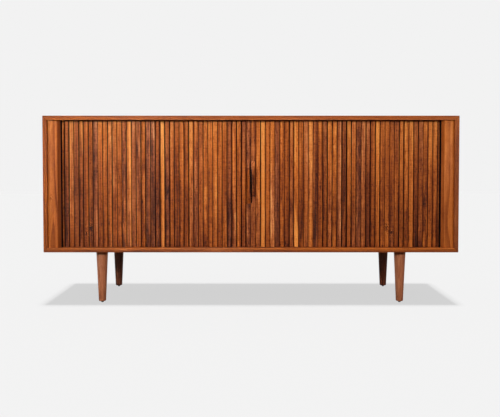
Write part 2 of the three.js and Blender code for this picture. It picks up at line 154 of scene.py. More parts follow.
@dataclass(frozen=True)
class Walnut(Finish):
    """Black walnut, planed and wiped with oil: a soft sheen over brown wood with orange and purple in it.

    The eye sees growth rings cut lengthwise as dark lines, finer fibre streaks between them, slow drifts
    of tone, pale sapwood in some boards, and short dark pores.

    Attributes:
        warm, cool: tints from dark to light where the wood turns to orange, and where it turns to purple.
        sap: tints of the sapwood, from its dark to its light streaks.
        soil_and_shade, stain: tints of the old oil and dust that stay in the grooves, which also give the painted
            shade in grooves and hollows, and of the oil soaked in beside them.
        ring: width of a year's growth. Real rings are 2 to 5 mm.
        lean: how fast a board's plane drifts through the rings along its length. It draws the arches.
        bend: how far the tree's axis wanders.
        streak, figure, mottle, fleck, curl: length along the grain and width of the fibre streaks, the drifts
            of tone, the cloudy patches, the short dark flecks, and the ripples across the grain.
        ring_depth, streak_depth, figure_depth, mottle_depth, fleck_depth, curl_depth: how much each changes
            the tone.
        stave, stave_depth: width of the boards that a panel is glued from, and how much their tones differ.
        roughness, gloss: the oil's roughness and its specular level.
    """

    warm: tuple[str, ...] = ("240b02", "60270a", "8f4616", "b86426", "d8883c")
    cool: tuple[str, ...] = ("220c06", "542715", "7e4225", "a8623a", "c88858")
    sap: tuple[str, ...] = ("9c4e1e", "cc7630", "e89e4e")
    soil_and_shade: str = "0b0300"
    stain: str = "a5602e"
    ring: float = 4.2 * MM
    lean: float = 0.014
    bend: float = 14 * MM
    streak: tuple[float, float] = (0.25, 3 * MM)
    figure: tuple[float, float] = (0.42, 20 * MM)
    mottle: tuple[float, float] = (0.08, 17 * MM)
    fleck: tuple[float, float] = (0.022, 4.5 * MM)
    curl: tuple[float, float] = (6 * MM, 34 * MM)
    ring_depth: float = 0.26
    streak_depth: float = 0.62
    figure_depth: float = 0.45
    mottle_depth: float = 0.30
    fleck_depth: float = 0.08
    curl_depth: float = 0.08
    stave: float = 1.0
    stave_depth: float = 0.0
    roughness: float = 0.52
    gloss: float = 0.10

    def _stretched(self, tree: Tree, place: Socket, size: tuple[float, float], detail: float,
                   roughness: float) -> Socket:
        """Makes a noise whose clouds are so long along the grain and so wide.

        Args:
            tree: the material's node tree.
            place: where in the log each point lies.
            size: the clouds' length and width.
            detail: how many finer noises lie over it.
            roughness: how strong those are.

        Returns:
            The noise's level.
        """
        rates = (1 / size[0], 1 / size[1], 1 / size[1])
        scaled = node(tree, "VectorMath", {0: place, 1: rates}, operation="MULTIPLY")[0]
        return node(tree, "TexNoise", {"Vector": scaled, "Scale": 1.0, "Detail": detail,
                                       "Roughness": roughness})[0]

    def draw(self, tree: Tree) -> Socket:
        """Draws the wood from the attributes that each piece carries: grain, look and mark.

        Args:
            tree: the material's node tree.

        Returns:
            The shader's output.
        """
        grain, look, mark = (node(tree, "Attribute", attribute_name=name)["Vector"]
                             for name in ("grain", "look", "mark"))
        light, purple, inside = node(tree, "SeparateXYZ", {0: look})
        along, beside, soiled_and_shaded = node(tree, "SeparateXYZ", {0: mark})

        # Each glued board gets its own place in its own log
        across = node(tree, "SeparateXYZ", {0: grain})["Y"]
        count = node(tree, "Math", {0: across, 1: 1 / self.stave, 2: 0.5}, operation="MULTIPLY_ADD")[0]
        stave = node(tree, "Math", {0: count}, operation="FLOOR")[0]
        chance = node(tree, "TexWhiteNoise", {"W": stave}, noise_dimensions="1D")
        back = node(tree, "CombineXYZ", {1: stave})[0]
        own = node(tree, "VectorMath", {0: back, 1: (0.0, -self.stave, 0.0), 2: grain},
                   operation="MULTIPLY_ADD")[0]
        place = node(tree, "VectorMath", {0: chance["Color"], 1: (3.0, 0.03, 0.03), 2: own},
                     operation="MULTIPLY_ADD")[0]

        # The tree's axis wanders, so that its rings do, over about 0.6 m of length
        slow = node(tree, "VectorMath", {0: place, 1: (1.6, 14.0, 14.0)}, operation="MULTIPLY")[0]
        wander = node(tree, "TexNoise", {"Vector": slow, "Scale": 1.0, "Detail": 1.0})
        bent = node(tree, "VectorMath", {0: wander["Color"], 1: (0.0, self.bend, self.bend), 2: place},
                    operation="MULTIPLY_ADD")[0]
        length, width, depth = node(tree, "SeparateXYZ", {0: bent})
        deep = node(tree, "Math", {0: length, 1: self.lean, 2: depth}, operation="MULTIPLY_ADD")[0]
        flat = node(tree, "CombineXYZ", {1: width, 2: deep})[0]
        radius = node(tree, "VectorMath", {0: flat}, operation="LENGTH")["Value"]

        # A knot bends the rings round itself. Its core is dark, and the wood round it is paler
        near = node(tree, "CombineXYZ", {0: along, 1: beside})[0]
        rough = node(tree, "VectorMath", {0: place, 1: (210.0, 210.0, 210.0)}, operation="MULTIPLY")[0]
        ragged = node(tree, "TexNoise", {"Vector": rough, "Scale": 1.0, "Detail": 1.0})
        torn = node(tree, "VectorMath", {0: ragged["Color"], 1: (0.024, 0.012, 0.0), 2: near},
                    operation="MULTIPLY_ADD")[0]
        oval = node(tree, "VectorMath", {0: torn, 1: (0.4, 1.0, 1.0), 2: (-0.0048, -0.006, 0.0)},
                    operation="MULTIPLY_ADD")[0]
        far = node(tree, "VectorMath", {0: oval}, operation="LENGTH")["Value"]
        knot, halo = (node(tree, "MapRange", {0: far, 1: out, 2: core}, interpolation_type="SMOOTHSTEP")[0]
                      for out, core in ((0.0042, 0.0012), (0.013, 0.003)))
        burr = node(tree, "Math", {0: ragged[0], 1: 0.5}, operation="SUBTRACT")[0]
        burr = node(tree, "Math", {0: burr, 1: halo}, operation="MULTIPLY")[0]
        pushed = node(tree, "Math", {0: halo, 1: 0.016, 2: radius}, operation="MULTIPLY_ADD")[0]
        turns = node(tree, "Math", {0: pushed, 1: 1 / self.ring}, operation="MULTIPLY")[0]

        # A year's wood darkens slowly to its end and starts again pale
        year = node(tree, "Math", {0: turns}, operation="FRACT")[0]
        late = node(tree, "MapRange", {0: year, 1: 0.25, 2: 0.9}, interpolation_type="SMOOTHSTEP")[0]
        early = node(tree, "MapRange", {0: year, 1: 1.0, 2: 0.9})[0]
        ring = node(tree, "Math", {0: late, 1: early}, operation="MULTIPLY")[0]

        # Streaks, drifts, patches, flecks and ripples are noise that is stretched along or across the grain
        streak, figure, mottle, fleck, curl = (
            self._stretched(tree, bent, size, detail, roughness) for size, detail, roughness in (
                (self.streak, 5.0, 0.66), (self.figure, 2.0, 0.6), (self.mottle, 5.0, 0.66),
                (self.fleck, 1.0, 0.6), (self.curl, 1.0, 0.6)))
        fleck = node(tree, "MapRange", {0: fleck, 1: 0.58, 2: 0.70})[0]

        # Some lengths of wood are plain, and others are full of cloudy patches
        cloudy = node(tree, "MapRange", {0: wander[0], 1: 0.40, 2: 0.62, 3: 0.25, 4: 1.9})[0]
        centred = node(tree, "Math", {0: mottle, 1: 0.5}, operation="SUBTRACT")[0]
        mottle = node(tree, "Math", {0: centred, 1: cloudy}, operation="MULTIPLY")[0]

        # Pores are 0.2 by 3 mm in the wood. They are drawn 0.8 by 14 mm, so that they show
        dashes = node(tree, "VectorMath", {0: place, 1: (70.0, 1250.0, 1250.0)}, operation="MULTIPLY")[0]
        dashes = node(tree, "TexNoise", {"Vector": dashes, "Scale": 1.0, "Detail": 1.0})[0]
        pore = node(tree, "MapRange", {0: dashes, 1: 0.60, 2: 0.72})[0]

        # Each pattern adds its share times what it is more than its middle
        tone = node(tree, "Math", {0: light, 1: 0.25, 2: 0.5}, operation="MULTIPLY_ADD")[0]
        for pattern, middle, share in (
            (figure, 0.5, self.figure_depth), (streak, 0.5, self.streak_depth),
            (mottle, 0.0, self.mottle_depth), (fleck, 0.1, -self.fleck_depth), (curl, 0.5, self.curl_depth),
            (ring, 0.3, -self.ring_depth), (knot, 0.0, -0.7), (halo, 0.0, 0.05), (burr, 0.0, 1.5),
            (chance["Value"], 0.5, self.stave_depth),
        ):
            level = node(tree, "Math", {0: tone, 1: middle * share}, operation="SUBTRACT")[0]
            tone = node(tree, "Math", {0: pattern, 1: share, 2: level}, operation="MULTIPLY_ADD")[0]

        # The tone runs through evenly spaced tints, from dark to light
        shades = []
        for tints in (self.warm, self.cool, self.sap):
            shades.append(node(tree, "ValToRGB", {0: tone})["Color"])
            stops = shades[-1].node.color_ramp.elements
            while len(stops) < len(tints):
                stops.new(0.5)
            for number, tint in enumerate(tints):
                stops[number].position = number / (len(tints) - 1)
                stops[number].color = linear(tint)
        warm, cool, pale = shades

        # The heartwood turns to orange or to purple, and gives way to sapwood at its edge
        turn = node(tree, "Math", {0: wander[0], 1: 2.4, 2: purple}, operation="MULTIPLY_ADD")[0]
        coolness = node(tree, "Math", {0: turn, 1: 1.2}, operation="SUBTRACT", use_clamp=True)[0]
        heart = node(tree, "Mix", {0: coolness, 6: warm, 7: cool}, data_type="RGBA")[2]
        edge = node(tree, "Math", {0: wander[0], 1: 0.008, 2: inside}, operation="MULTIPLY_ADD")[0]
        sapwood = node(tree, "MapRange", {0: edge, 1: 0.0032, 2: 0.0048}, interpolation_type="SMOOTHSTEP")[0]
        wood = node(tree, "Mix", {0: sapwood, 6: heart, 7: pale}, data_type="RGBA")[2]

        # Dirt in the pores, and the mark's third channel, which holds dirt and painted shade, soak in first and cover
        # the wood where they are thick
        filled = node(tree, "Math", {0: pore, 1: 0.35}, operation="MULTIPLY")[0]
        dirt_and_shade = node(tree, "Math", {0: soiled_and_shaded, 1: filled}, operation="MAXIMUM", use_clamp=True)[0]
        stained = node(tree, "Mix", {0: dirt_and_shade, 6: wood, 7: linear(self.stain)},
                       data_type="RGBA", blend_type="MULTIPLY")[2]
        thick = node(tree, "Math", {0: dirt_and_shade, 1: 1.6}, operation="POWER")[0]
        aged_and_shaded = node(tree, "Mix", {0: thick, 6: stained, 7: linear(self.soil_and_shade)}, data_type="RGBA")[2]

        relief = node(tree, "Math", {0: pore, 1: -0.6, 2: streak}, operation="MULTIPLY_ADD")[0]
        bump = node(tree, "Bump", {"Height": relief, "Strength": 0.25, "Distance": 0.2 * MM})[0]
        sheen = node(tree, "MapRange",
                     {0: streak, 1: 0.3, 2: 0.7, 3: self.roughness - 0.06, 4: self.roughness + 0.08})[0]
        return node(tree, "BsdfPrincipled", {"Base Color": aged_and_shaded, "Roughness": sheen, "Normal": bump,
                                             "Specular IOR Level": self.gloss})[0]


@dataclass(frozen=True)
class CottonDuck(Finish):
    """Plain woven cotton canvas, dyed dark: matt, with a fine checker of threads over and under.

    Attributes:
        high, low: tints of the threads on top and between them.
        thread: spacing of the threads. It is 0.6 mm in the cloth, and drawn at 2 mm so that it shows.
    """

    high: str = "241811"
    low: str = "100a07"
    thread: float = 2 * MM

    def draw(self, tree: Tree) -> Socket:
        """Draws the weave from the cloth's own attribute: the product of two sines.

        Args:
            tree: the material's node tree.

        Returns:
            The shader's output.
        """
        weave = node(tree, "Attribute", attribute_name="grain")["Vector"]
        turns = node(tree, "VectorMath", {0: weave, 1: (math.pi / self.thread,) * 3}, operation="MULTIPLY")[0]
        warp, weft, _ = node(tree, "SeparateXYZ", {0: node(tree, "VectorMath", {0: turns}, operation="SINE")[0]})
        checker = node(tree, "Math", {0: warp, 1: weft}, operation="MULTIPLY")[0]
        over = node(tree, "MapRange", {0: checker, 1: -1.0})[0]
        tint = node(tree, "Mix", {0: over, 6: linear(self.low), 7: linear(self.high)}, data_type="RGBA")[2]
        bump = node(tree, "Bump", {"Height": over, "Strength": 0.5, "Distance": 0.3 * MM})[0]
        return node(tree, "BsdfPrincipled", {"Base Color": tint, "Roughness": 0.95, "Normal": bump,
                                             "Specular IOR Level": 0.1})[0]


@dataclass(frozen=True)
class Mottled(Finish):
    """A small hard part of one stuff, whose surface is mottled a little by how it was made.

    Attributes:
        tints: the two tints that it varies between.
        metallic: one for metal.
        roughness: mean roughness.
        grit: size of the mottling.
    """

    tints: tuple[str, str]
    metallic: float
    roughness: float
    grit: float

    def draw(self, tree: Tree) -> Socket:
        """Draws the mottling on object coordinates.

        Args:
            tree: the material's node tree.

        Returns:
            The shader's output.
        """
        place = node(tree, "TexCoord")["Object"]
        cloud = node(tree, "TexNoise", {"Vector": place, "Scale": 1 / self.grit, "Detail": 3.0})[0]
        first, second = (linear(tint) for tint in self.tints)
        tint = node(tree, "Mix", {0: cloud, 6: first, 7: second}, data_type="RGBA")[2]
        rough = node(tree, "MapRange",
                     {0: cloud, 1: 0.3, 2: 0.7, 3: self.roughness - 0.08, 4: self.roughness + 0.08})[0]
        bump = node(tree, "Bump", {"Height": cloud, "Strength": 0.2, "Distance": 0.1 * MM})[0]
        return node(tree, "BsdfPrincipled", {"Base Color": tint, "Metallic": self.metallic,
                                             "Roughness": rough, "Normal": bump})[0]


@dataclass(frozen=True)
class BeechPly(Finish):
    """Beech plywood: pale plies with thin dark glue lines, seen on the ends of the mitre splines.

    Attributes:
        ply, glue: tints of the plies, and of the glue lines and the end-grain plies.
        layer: thickness of one ply.
    """

    ply: str = "cfae82"
    glue: str = "a07d54"
    layer: float = 0.75 * MM

    def draw(self, tree: Tree) -> Socket:
        """Draws the plies on object coordinates, square to the mitre.

        Args:
            tree: the material's node tree.

        Returns:
            The shader's output.
        """
        folded = node(tree, "VectorMath", {0: node(tree, "TexCoord")["Object"]}, operation="ABSOLUTE")[0]
        through = node(tree, "VectorMath", {0: folded, 1: (0.7071, 0.0, 0.7071)},
                       operation="DOT_PRODUCT")["Value"]
        count = node(tree, "Math", {0: through, 1: 0.5 / self.layer}, operation="MULTIPLY")[0]
        share = node(tree, "Math", {0: count}, operation="FRACT")[0]
        dark = node(tree, "Math", {0: share, 1: 0.5}, operation="GREATER_THAN")[0]
        tint = node(tree, "Mix", {0: dark, 6: linear(self.ply), 7: linear(self.glue)}, data_type="RGBA")[2]
        return node(tree, "BsdfPrincipled", {"Base Color": tint, "Roughness": 0.7})[0]


CASE_WALNUT = Walnut("walnut_oiled_case", stave=0.092, stave_depth=0.25, streak_depth=0.55, figure_depth=0.3)
SLAT_WALNUT = Walnut("walnut_oiled_slats", lean=0.003, bend=3 * MM, streak=(0.45, 6 * MM), figure=(0.30, 30 * MM),
                     mottle=(0.075, 13 * MM), ring_depth=0.12, streak_depth=1.2, figure_depth=0.75,
                     mottle_depth=0.85, fleck_depth=0.22, curl_depth=0.3)
LEG_WALNUT = Walnut("walnut_oiled_legs", warm=("35150a", "70361e", "9e5a3a", "be7850", "d4956c"),
                    cool=("2c1710", "633c2a", "8d5c44", "ad7c60", "c6997c"), ring_depth=0.12, figure_depth=0.3)
# The fillets' near-black stain is a painted shadow, for the dark gap between jamb and curtain
SHADOW_BLACK_TINTS = ("020101", "040302", "060403", "080504", "0c0806")
SHADOW_BLACK_WALNUT = Walnut("walnut_black_painted_shadow", warm=SHADOW_BLACK_TINTS, cool=SHADOW_BLACK_TINTS, roughness=0.7, gloss=0.03)
INSIDE_WALNUT = Walnut("walnut_sealed_inside", stave=0.13, stave_depth=0.15, roughness=0.62)
CANVAS = CottonDuck("cotton_duck_dyed")
ZINC_STEEL = Mottled("steel_zinc_plated", ("b9bcbc", "9da1a3"), 1.0, 0.38, 1.5 * MM)
BLACK_NYLON = Mottled("nylon_moulded_black", ("161616", "202020"), 0.0, 0.5, 1.0 * MM)
SPLINE_PLY = BeechPly("beech_ply_sanded")


# Skins


class Side(Enum):
    """A side of the cabinet; the value is the sign of its x."""

    LEFT = -1
    RIGHT = 1

    @property
    def word(self) -> str:
        """The side's name in the names of nodes and pieces."""
        return self.name.lower()


class Run(Enum):
    """The axis that an outline is carried along; the value rolls (u, v, w) into (x, y, z)."""

    UP = 0
    BACK = -1
    ACROSS = 1


# Points nearer than this are one, faces flatter to each other than this are one, and edges sharper than
# this are rounded
WELD = 1e-6
FLAT_ANGLE = math.radians(0.5)
SHARP_ANGLE = math.radians(35)

# A board's axes, along its grain, across it and into it
UPRIGHT = ((0, 0, 1), (1, 0, 0), (0, 1, 0))
LEVEL = ((1, 0, 0), (0, 1, 0), (0, 0, 1))
WALL = ((1, 0, 0), (0, 0, 1), (0, 1, 0))
DIVIDER = ((0, 0, 1), (0, 1, 0), (1, 0, 0))


@dataclass(frozen=True)
class Timber:
    """Where a board was cut from its tree, and what its wood looks like.

    Attributes:
        axes: the directions along the grain, across it and into the board, in the frame.
        shift: what is added to a point's grain, in metres, to set its place in the log.
        tone: -1 dark to 1 light.
        cool: 0 where the wood turns to orange, and 1 where it turns to purple.
        sap: how far inside the sapwood it lies, in metres.
    """

    axes: tuple = UPRIGHT
    shift: tuple = (0.0, 0.0, 0.0)
    tone: float = 0.0
    cool: float = 0.4
    sap: float = HEARTWOOD


@dataclass
class Skin:
    """Closed skins that make one piece.

    Attributes:
        points: places, one row each.
        faces: arrays of point numbers, one row for each face; an array's faces have as many corners.
        grain: each point's place in its tree: along the grain, across it and into the board.
        look: each point's tone, coolness and distance inside the sapwood.
        mark: how far each point is from its board's knot, along and across the grain, and its dirt and painted shade.
        mesh: the mesh, where the skin was read from one.
    """

    points: Array
    faces: list[Array]
    grain: Array | None = None
    look: Array | None = None
    mark: Array | None = None
    mesh: bpy.types.Mesh | None = None

    def turned_out(self) -> "Skin":
        """Turns every face over, for a skin that was mirrored, and gives the skin."""
        self.faces = [f[:, ::-1] for f in self.faces]
        return self

    def on(self, side: Side) -> "Skin":
        """Moves a skin of the right side to a side, and gives it."""
        self.points = self.points * np.array([side.value, 1, 1])
        return self.turned_out() if side is Side.LEFT else self

    def cut_from(self, timber: Timber) -> "Skin":
        """Sets the wood of the whole skin: a point's parts along the board's axes, plus the shift.

        Args:
            timber: the board that it is cut from.

        Returns:
            The skin itself.
        """
        self.grain = self.points @ np.array(timber.axes, float).T + np.array(timber.shift)
        self.look = np.tile([timber.tone, timber.cool, timber.sap], (len(self.points), 1))
        return self

    def soil_and_shade(self, soiled_and_shaded: Array) -> None:
        """Sets each point's dirt and painted shade, in wood without a knot."""
        far = np.full_like(soiled_and_shaded, NO_KNOT)
        self.mark = np.stack([far, far, soiled_and_shaded], axis=-1)

    def piece(self, name: str, material: Material, bevel: float = 0.0, flat: bool = True) -> Piece:
        """Makes the object, with its attributes and its material. What the skin leaves out gets a plain value.

        Args:
            name: the piece's name.
            material: its finish.
            bevel: radius of the edges, or nothing where the skin already has them.
            flat: whether its flat faces are shaded flat up to their rounded edges.

        Returns:
            The object, linked to the scene.
        """
        mesh, count = self.mesh or bpy.data.meshes.new(name), len(self.points)
        mesh.name = name
        if self.mesh:
            mesh.vertices.foreach_set("co", np.ascontiguousarray(self.points, np.float32).ravel())
        else:
            mesh.from_pydata(self.points.tolist(), [], [row for faces in self.faces for row in faces.tolist()])
        mesh.shade_smooth()
        for attribute, values, plain in (
            ("grain", self.grain, self.points), ("look", self.look, (0, 0.4, HEARTWOOD)),
            ("mark", self.mark, (NO_KNOT, NO_KNOT, 0)),
        ):
            values = np.broadcast_to(plain if values is None else values, (count, 3))
            mesh.attributes.new(attribute, "FLOAT_VECTOR", "POINT").data.foreach_set(
                "vector", np.ascontiguousarray(values, np.float32).ravel())
        mesh.materials.append(material)
        made = linked(name, mesh)
        if bevel:
            rounding = made.modifiers.new("arris", "BEVEL")
            rounding.width = bevel
            rounding.segments = 2
            rounding.limit_method = "ANGLE"
            rounding.angle_limit = SHARP_ANGLE
            rounding.use_clamp_overlap = False
        if flat:
            shading = made.modifiers.new("flat_faces", "WEIGHTED_NORMAL")
            shading.weight = 100
            shading.keep_sharp = True
        return made


def linked(name: str, data: bpy.types.ID) -> Piece:
    """Makes an object of a mesh, a lamp or a camera, in the scene.

    Args:
        name: the object's name.
        data: what it shows.

    Returns:
        The object.
    """
    made = bpy.data.objects.new(name, data)
    bpy.context.scene.collection.objects.link(made)
    return made


def joined(skins: list[Skin]) -> Skin:
    """Puts several skins into one piece, each still closed.

    Args:
        skins: the skins, all with their wood set or none.

    Returns:
        One skin that holds them all.
    """
    starts = np.cumsum([0] + [len(s.points) for s in skins])
    faces = [f + start for s, start in zip(skins, starts) for f in s.faces]
    columns = [[getattr(s, name) for s in skins] for name in ("points", "grain", "look", "mark")]
    points, *wood = (None if column[0] is None else np.concatenate(column) for column in columns)
    return Skin(points, faces, *wood)


def lofted(rings: Array) -> Skin:
    """Closes a skin over rings of points: four-sided faces between neighbours, and a flat face at each end.

    The rings run anticlockwise as seen from the side that they go towards.

    Args:
        rings: places by piece, ring, point on the ring, and axis. The pieces are separate skins.

    Returns:
        One skin that holds all the pieces.
    """
    number = np.arange(rings[..., 0].size).reshape(rings.shape[:3])
    ahead = np.roll(number, -1, axis=2)
    sides = np.stack([number[:, :-1], ahead[:, :-1], ahead[:, 1:], number[:, 1:]], axis=-1)
    return Skin(rings.reshape(-1, 3), [sides.reshape(-1, 4), number[:, 0, ::-1], number[:, -1]])


def arrised(corners: Array, low: float, high: float, arris: float, steps: int = 2,
            stops: tuple[float, ...] = ()) -> Array:
    """Carries outlines along w, with every edge rounded by a quarter circle.

    Each corner's centre lies the arris inside both its edges. A point stands out from it by the arris
    times the sine of the end's angle, along a direction that turns from one edge's normal to the next's,
    and stands in from the end by the arris times one minus that angle's cosine.

    Args:
        corners: outlines in u and v, anticlockwise, by piece, corner and axis.
        low, high: where the path starts and ends.
        arris: radius of every edge.
        steps: how many faces round each edge.
        stops: distances below the high end where the outline gets a ring more.

    Returns:
        Rings by piece, ring, point and axis, as u, v and w.
    """
    edges = np.roll(corners, -1, axis=1) - corners
    after = np.stack([edges[..., 1], -edges[..., 0]], axis=-1)
    after /= np.linalg.norm(after, axis=-1, keepdims=True)
    before = np.roll(after, 1, axis=1)
    centre = corners - arris * (before + after) / (1 + (before * after).sum(-1, keepdims=True))
    share = np.linspace(0, 1, steps + 1)[:, None]
    turn = before[:, :, None] * (1 - share) + after[:, :, None] * share
    turn /= np.linalg.norm(turn, axis=-1, keepdims=True)
    turn = turn.reshape(len(corners), 1, -1, 2)
    centre = np.repeat(centre, steps + 1, axis=1)[:, None]
    angle = np.linspace(0, np.pi / 2, steps + 1)
    out = arris * np.concatenate([np.sin(angle), np.ones(len(stops)), np.sin(angle)[::-1]])
    inward = arris * (1 - np.cos(angle))
    between = high - np.sort(np.array(stops))[::-1]
    level = np.concatenate([low + inward, between, high - inward[::-1]])
    plan = centre + out[None, :, None, None] * turn
    heights = np.broadcast_to(level[None, :, None, None], (*plan.shape[:3], 1))
    return np.concatenate([plan, heights], axis=-1)


def board(corners: list[tuple[float, float]], low: float, high: float, run: Run, arris: float) -> Skin:
    """Makes one board: an outline carried along an axis, with small rounded edges.

    Args:
        corners: the outline in the two axes that follow the run's, anticlockwise.
        low, high: where the board starts and ends along its run.
        run: the axis that it runs along.
        arris: radius of its edges.

    Returns:
        The board's skin.
    """
    rings = arrised(np.array([corners], float), low, high, arris)
    return lofted(np.roll(rings, run.value, axis=-1))


def slab(node_name: str, arris: float) -> Skin:
    """Makes a plain board that fills the box of a CAD node.

    Args:
        node_name: the node.
        arris: radius of its edges.

    Returns:
        The board's skin.
    """
    (left, front, low), (right, back, high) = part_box(node_name)
    return board([(left, front), (right, front), (right, back), (left, back)], low, high, Run.UP, arris)


def turned(radii: Array, heights: Array, centre: tuple[float, float], around: int) -> Skin:
    """Turns a profile about an upright axis: each ring is a circle of that radius at that height.

    Args:
        radii, heights: the profile, from the bottom up.
        centre: the axis in x and y.
        around: how many points each ring has.

    Returns:
        The turned skin.
    """
    angle = np.linspace(0, 2 * np.pi, around, endpoint=False)
    x = centre[0] + radii[:, None] * np.cos(angle)
    y = centre[1] + radii[:, None] * np.sin(angle)
    z = np.broadcast_to(heights[:, None], x.shape)
    return lofted(np.stack([x, y, z], axis=-1)[None])


def quarter_round(radius: float, arris: float, steps: int) -> tuple[Array, Array]:
    """Gives the radii and rises of a rounded end: less one minus the sine, and one minus the cosine."""
    angle = np.linspace(0, np.pi / 2, steps)
    return radius - arris * (1 - np.sin(angle)), arris * (1 - np.cos(angle))


def merged(node_name: str) -> Skin:
    """Reads a CAD node that has grooves or holes, merged to whole faces.

    Args:
        node_name: the node.

    Returns:
        The skin, with its mesh.
    """
    mesh = bpy.data.meshes.new(node_name)
    whole = bmesh.new()
    whole.from_mesh(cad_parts[node_name].data)
    bmesh.ops.remove_doubles(whole, verts=whole.verts, dist=WELD)
    bmesh.ops.dissolve_limit(whole, angle_limit=FLAT_ANGLE, verts=whole.verts, edges=whole.edges)
    whole.to_mesh(mesh)
    whole.free()
    for stale in [a.name for a in mesh.attributes if a.name.startswith(("custom", "UV"))]:
        mesh.attributes.remove(mesh.attributes[stale])
    mesh.materials.clear()
    places = np.empty(len(mesh.vertices) * 3, np.float32)
    mesh.vertices.foreach_get("co", places)
    return Skin(places.reshape(-1, 3), [], mesh=mesh)


def stand_for(made: Piece, body: str, slot: str, *nodes: str) -> Piece:
    """Puts a piece on its body and in the place of its CAD nodes, and reports it.

    Args:
        made: the piece.
        body: the CAD body that it moves with.
        slot: the record's material slot. It is not used.
        *nodes: the CAD nodes that it stands for.

    Returns:
        The same piece.
    """
    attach(made, body)
    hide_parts(*nodes)
    LOG.info("%s stands for %s on %s", made.name, ", ".join(nodes), body)
    return made


def dress(node_name: str, material: Material) -> None:
    """Gives a CAD node that stays as it is its finish.

    Args:
        node_name: the node.
        material: its finish.
    """
    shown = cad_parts[node_name].data
    shown.materials.clear()
    shown.materials.append(material)
    LOG.info("%s keeps its shape, in %s", node_name, material.name)


# Sub-assemblies

# Where an upright piece gets a ring more below its top, so that painted light and shade can change its tone along its
# length
PAINTED_LIGHT_STOPS = (2.5 * MM, 4.5 * MM, 60 * MM, 120 * MM, 200 * MM, 300 * MM, 420 * MM)
PAINTED_LIGHT_POWER = 1.7
# The y of the slats' face
SLAT_FACE = -0.2


def painted_top_light(heights: Array, low: float, high: float) -> Array:
    """Gives the painted light on the front, which makes it paler towards the top: the share of the height to a power,
    less its mean.
    """
    return np.clip((heights - low) / (high - low), 0, 1) ** PAINTED_LIGHT_POWER - 1 / (PAINTED_LIGHT_POWER + 1)


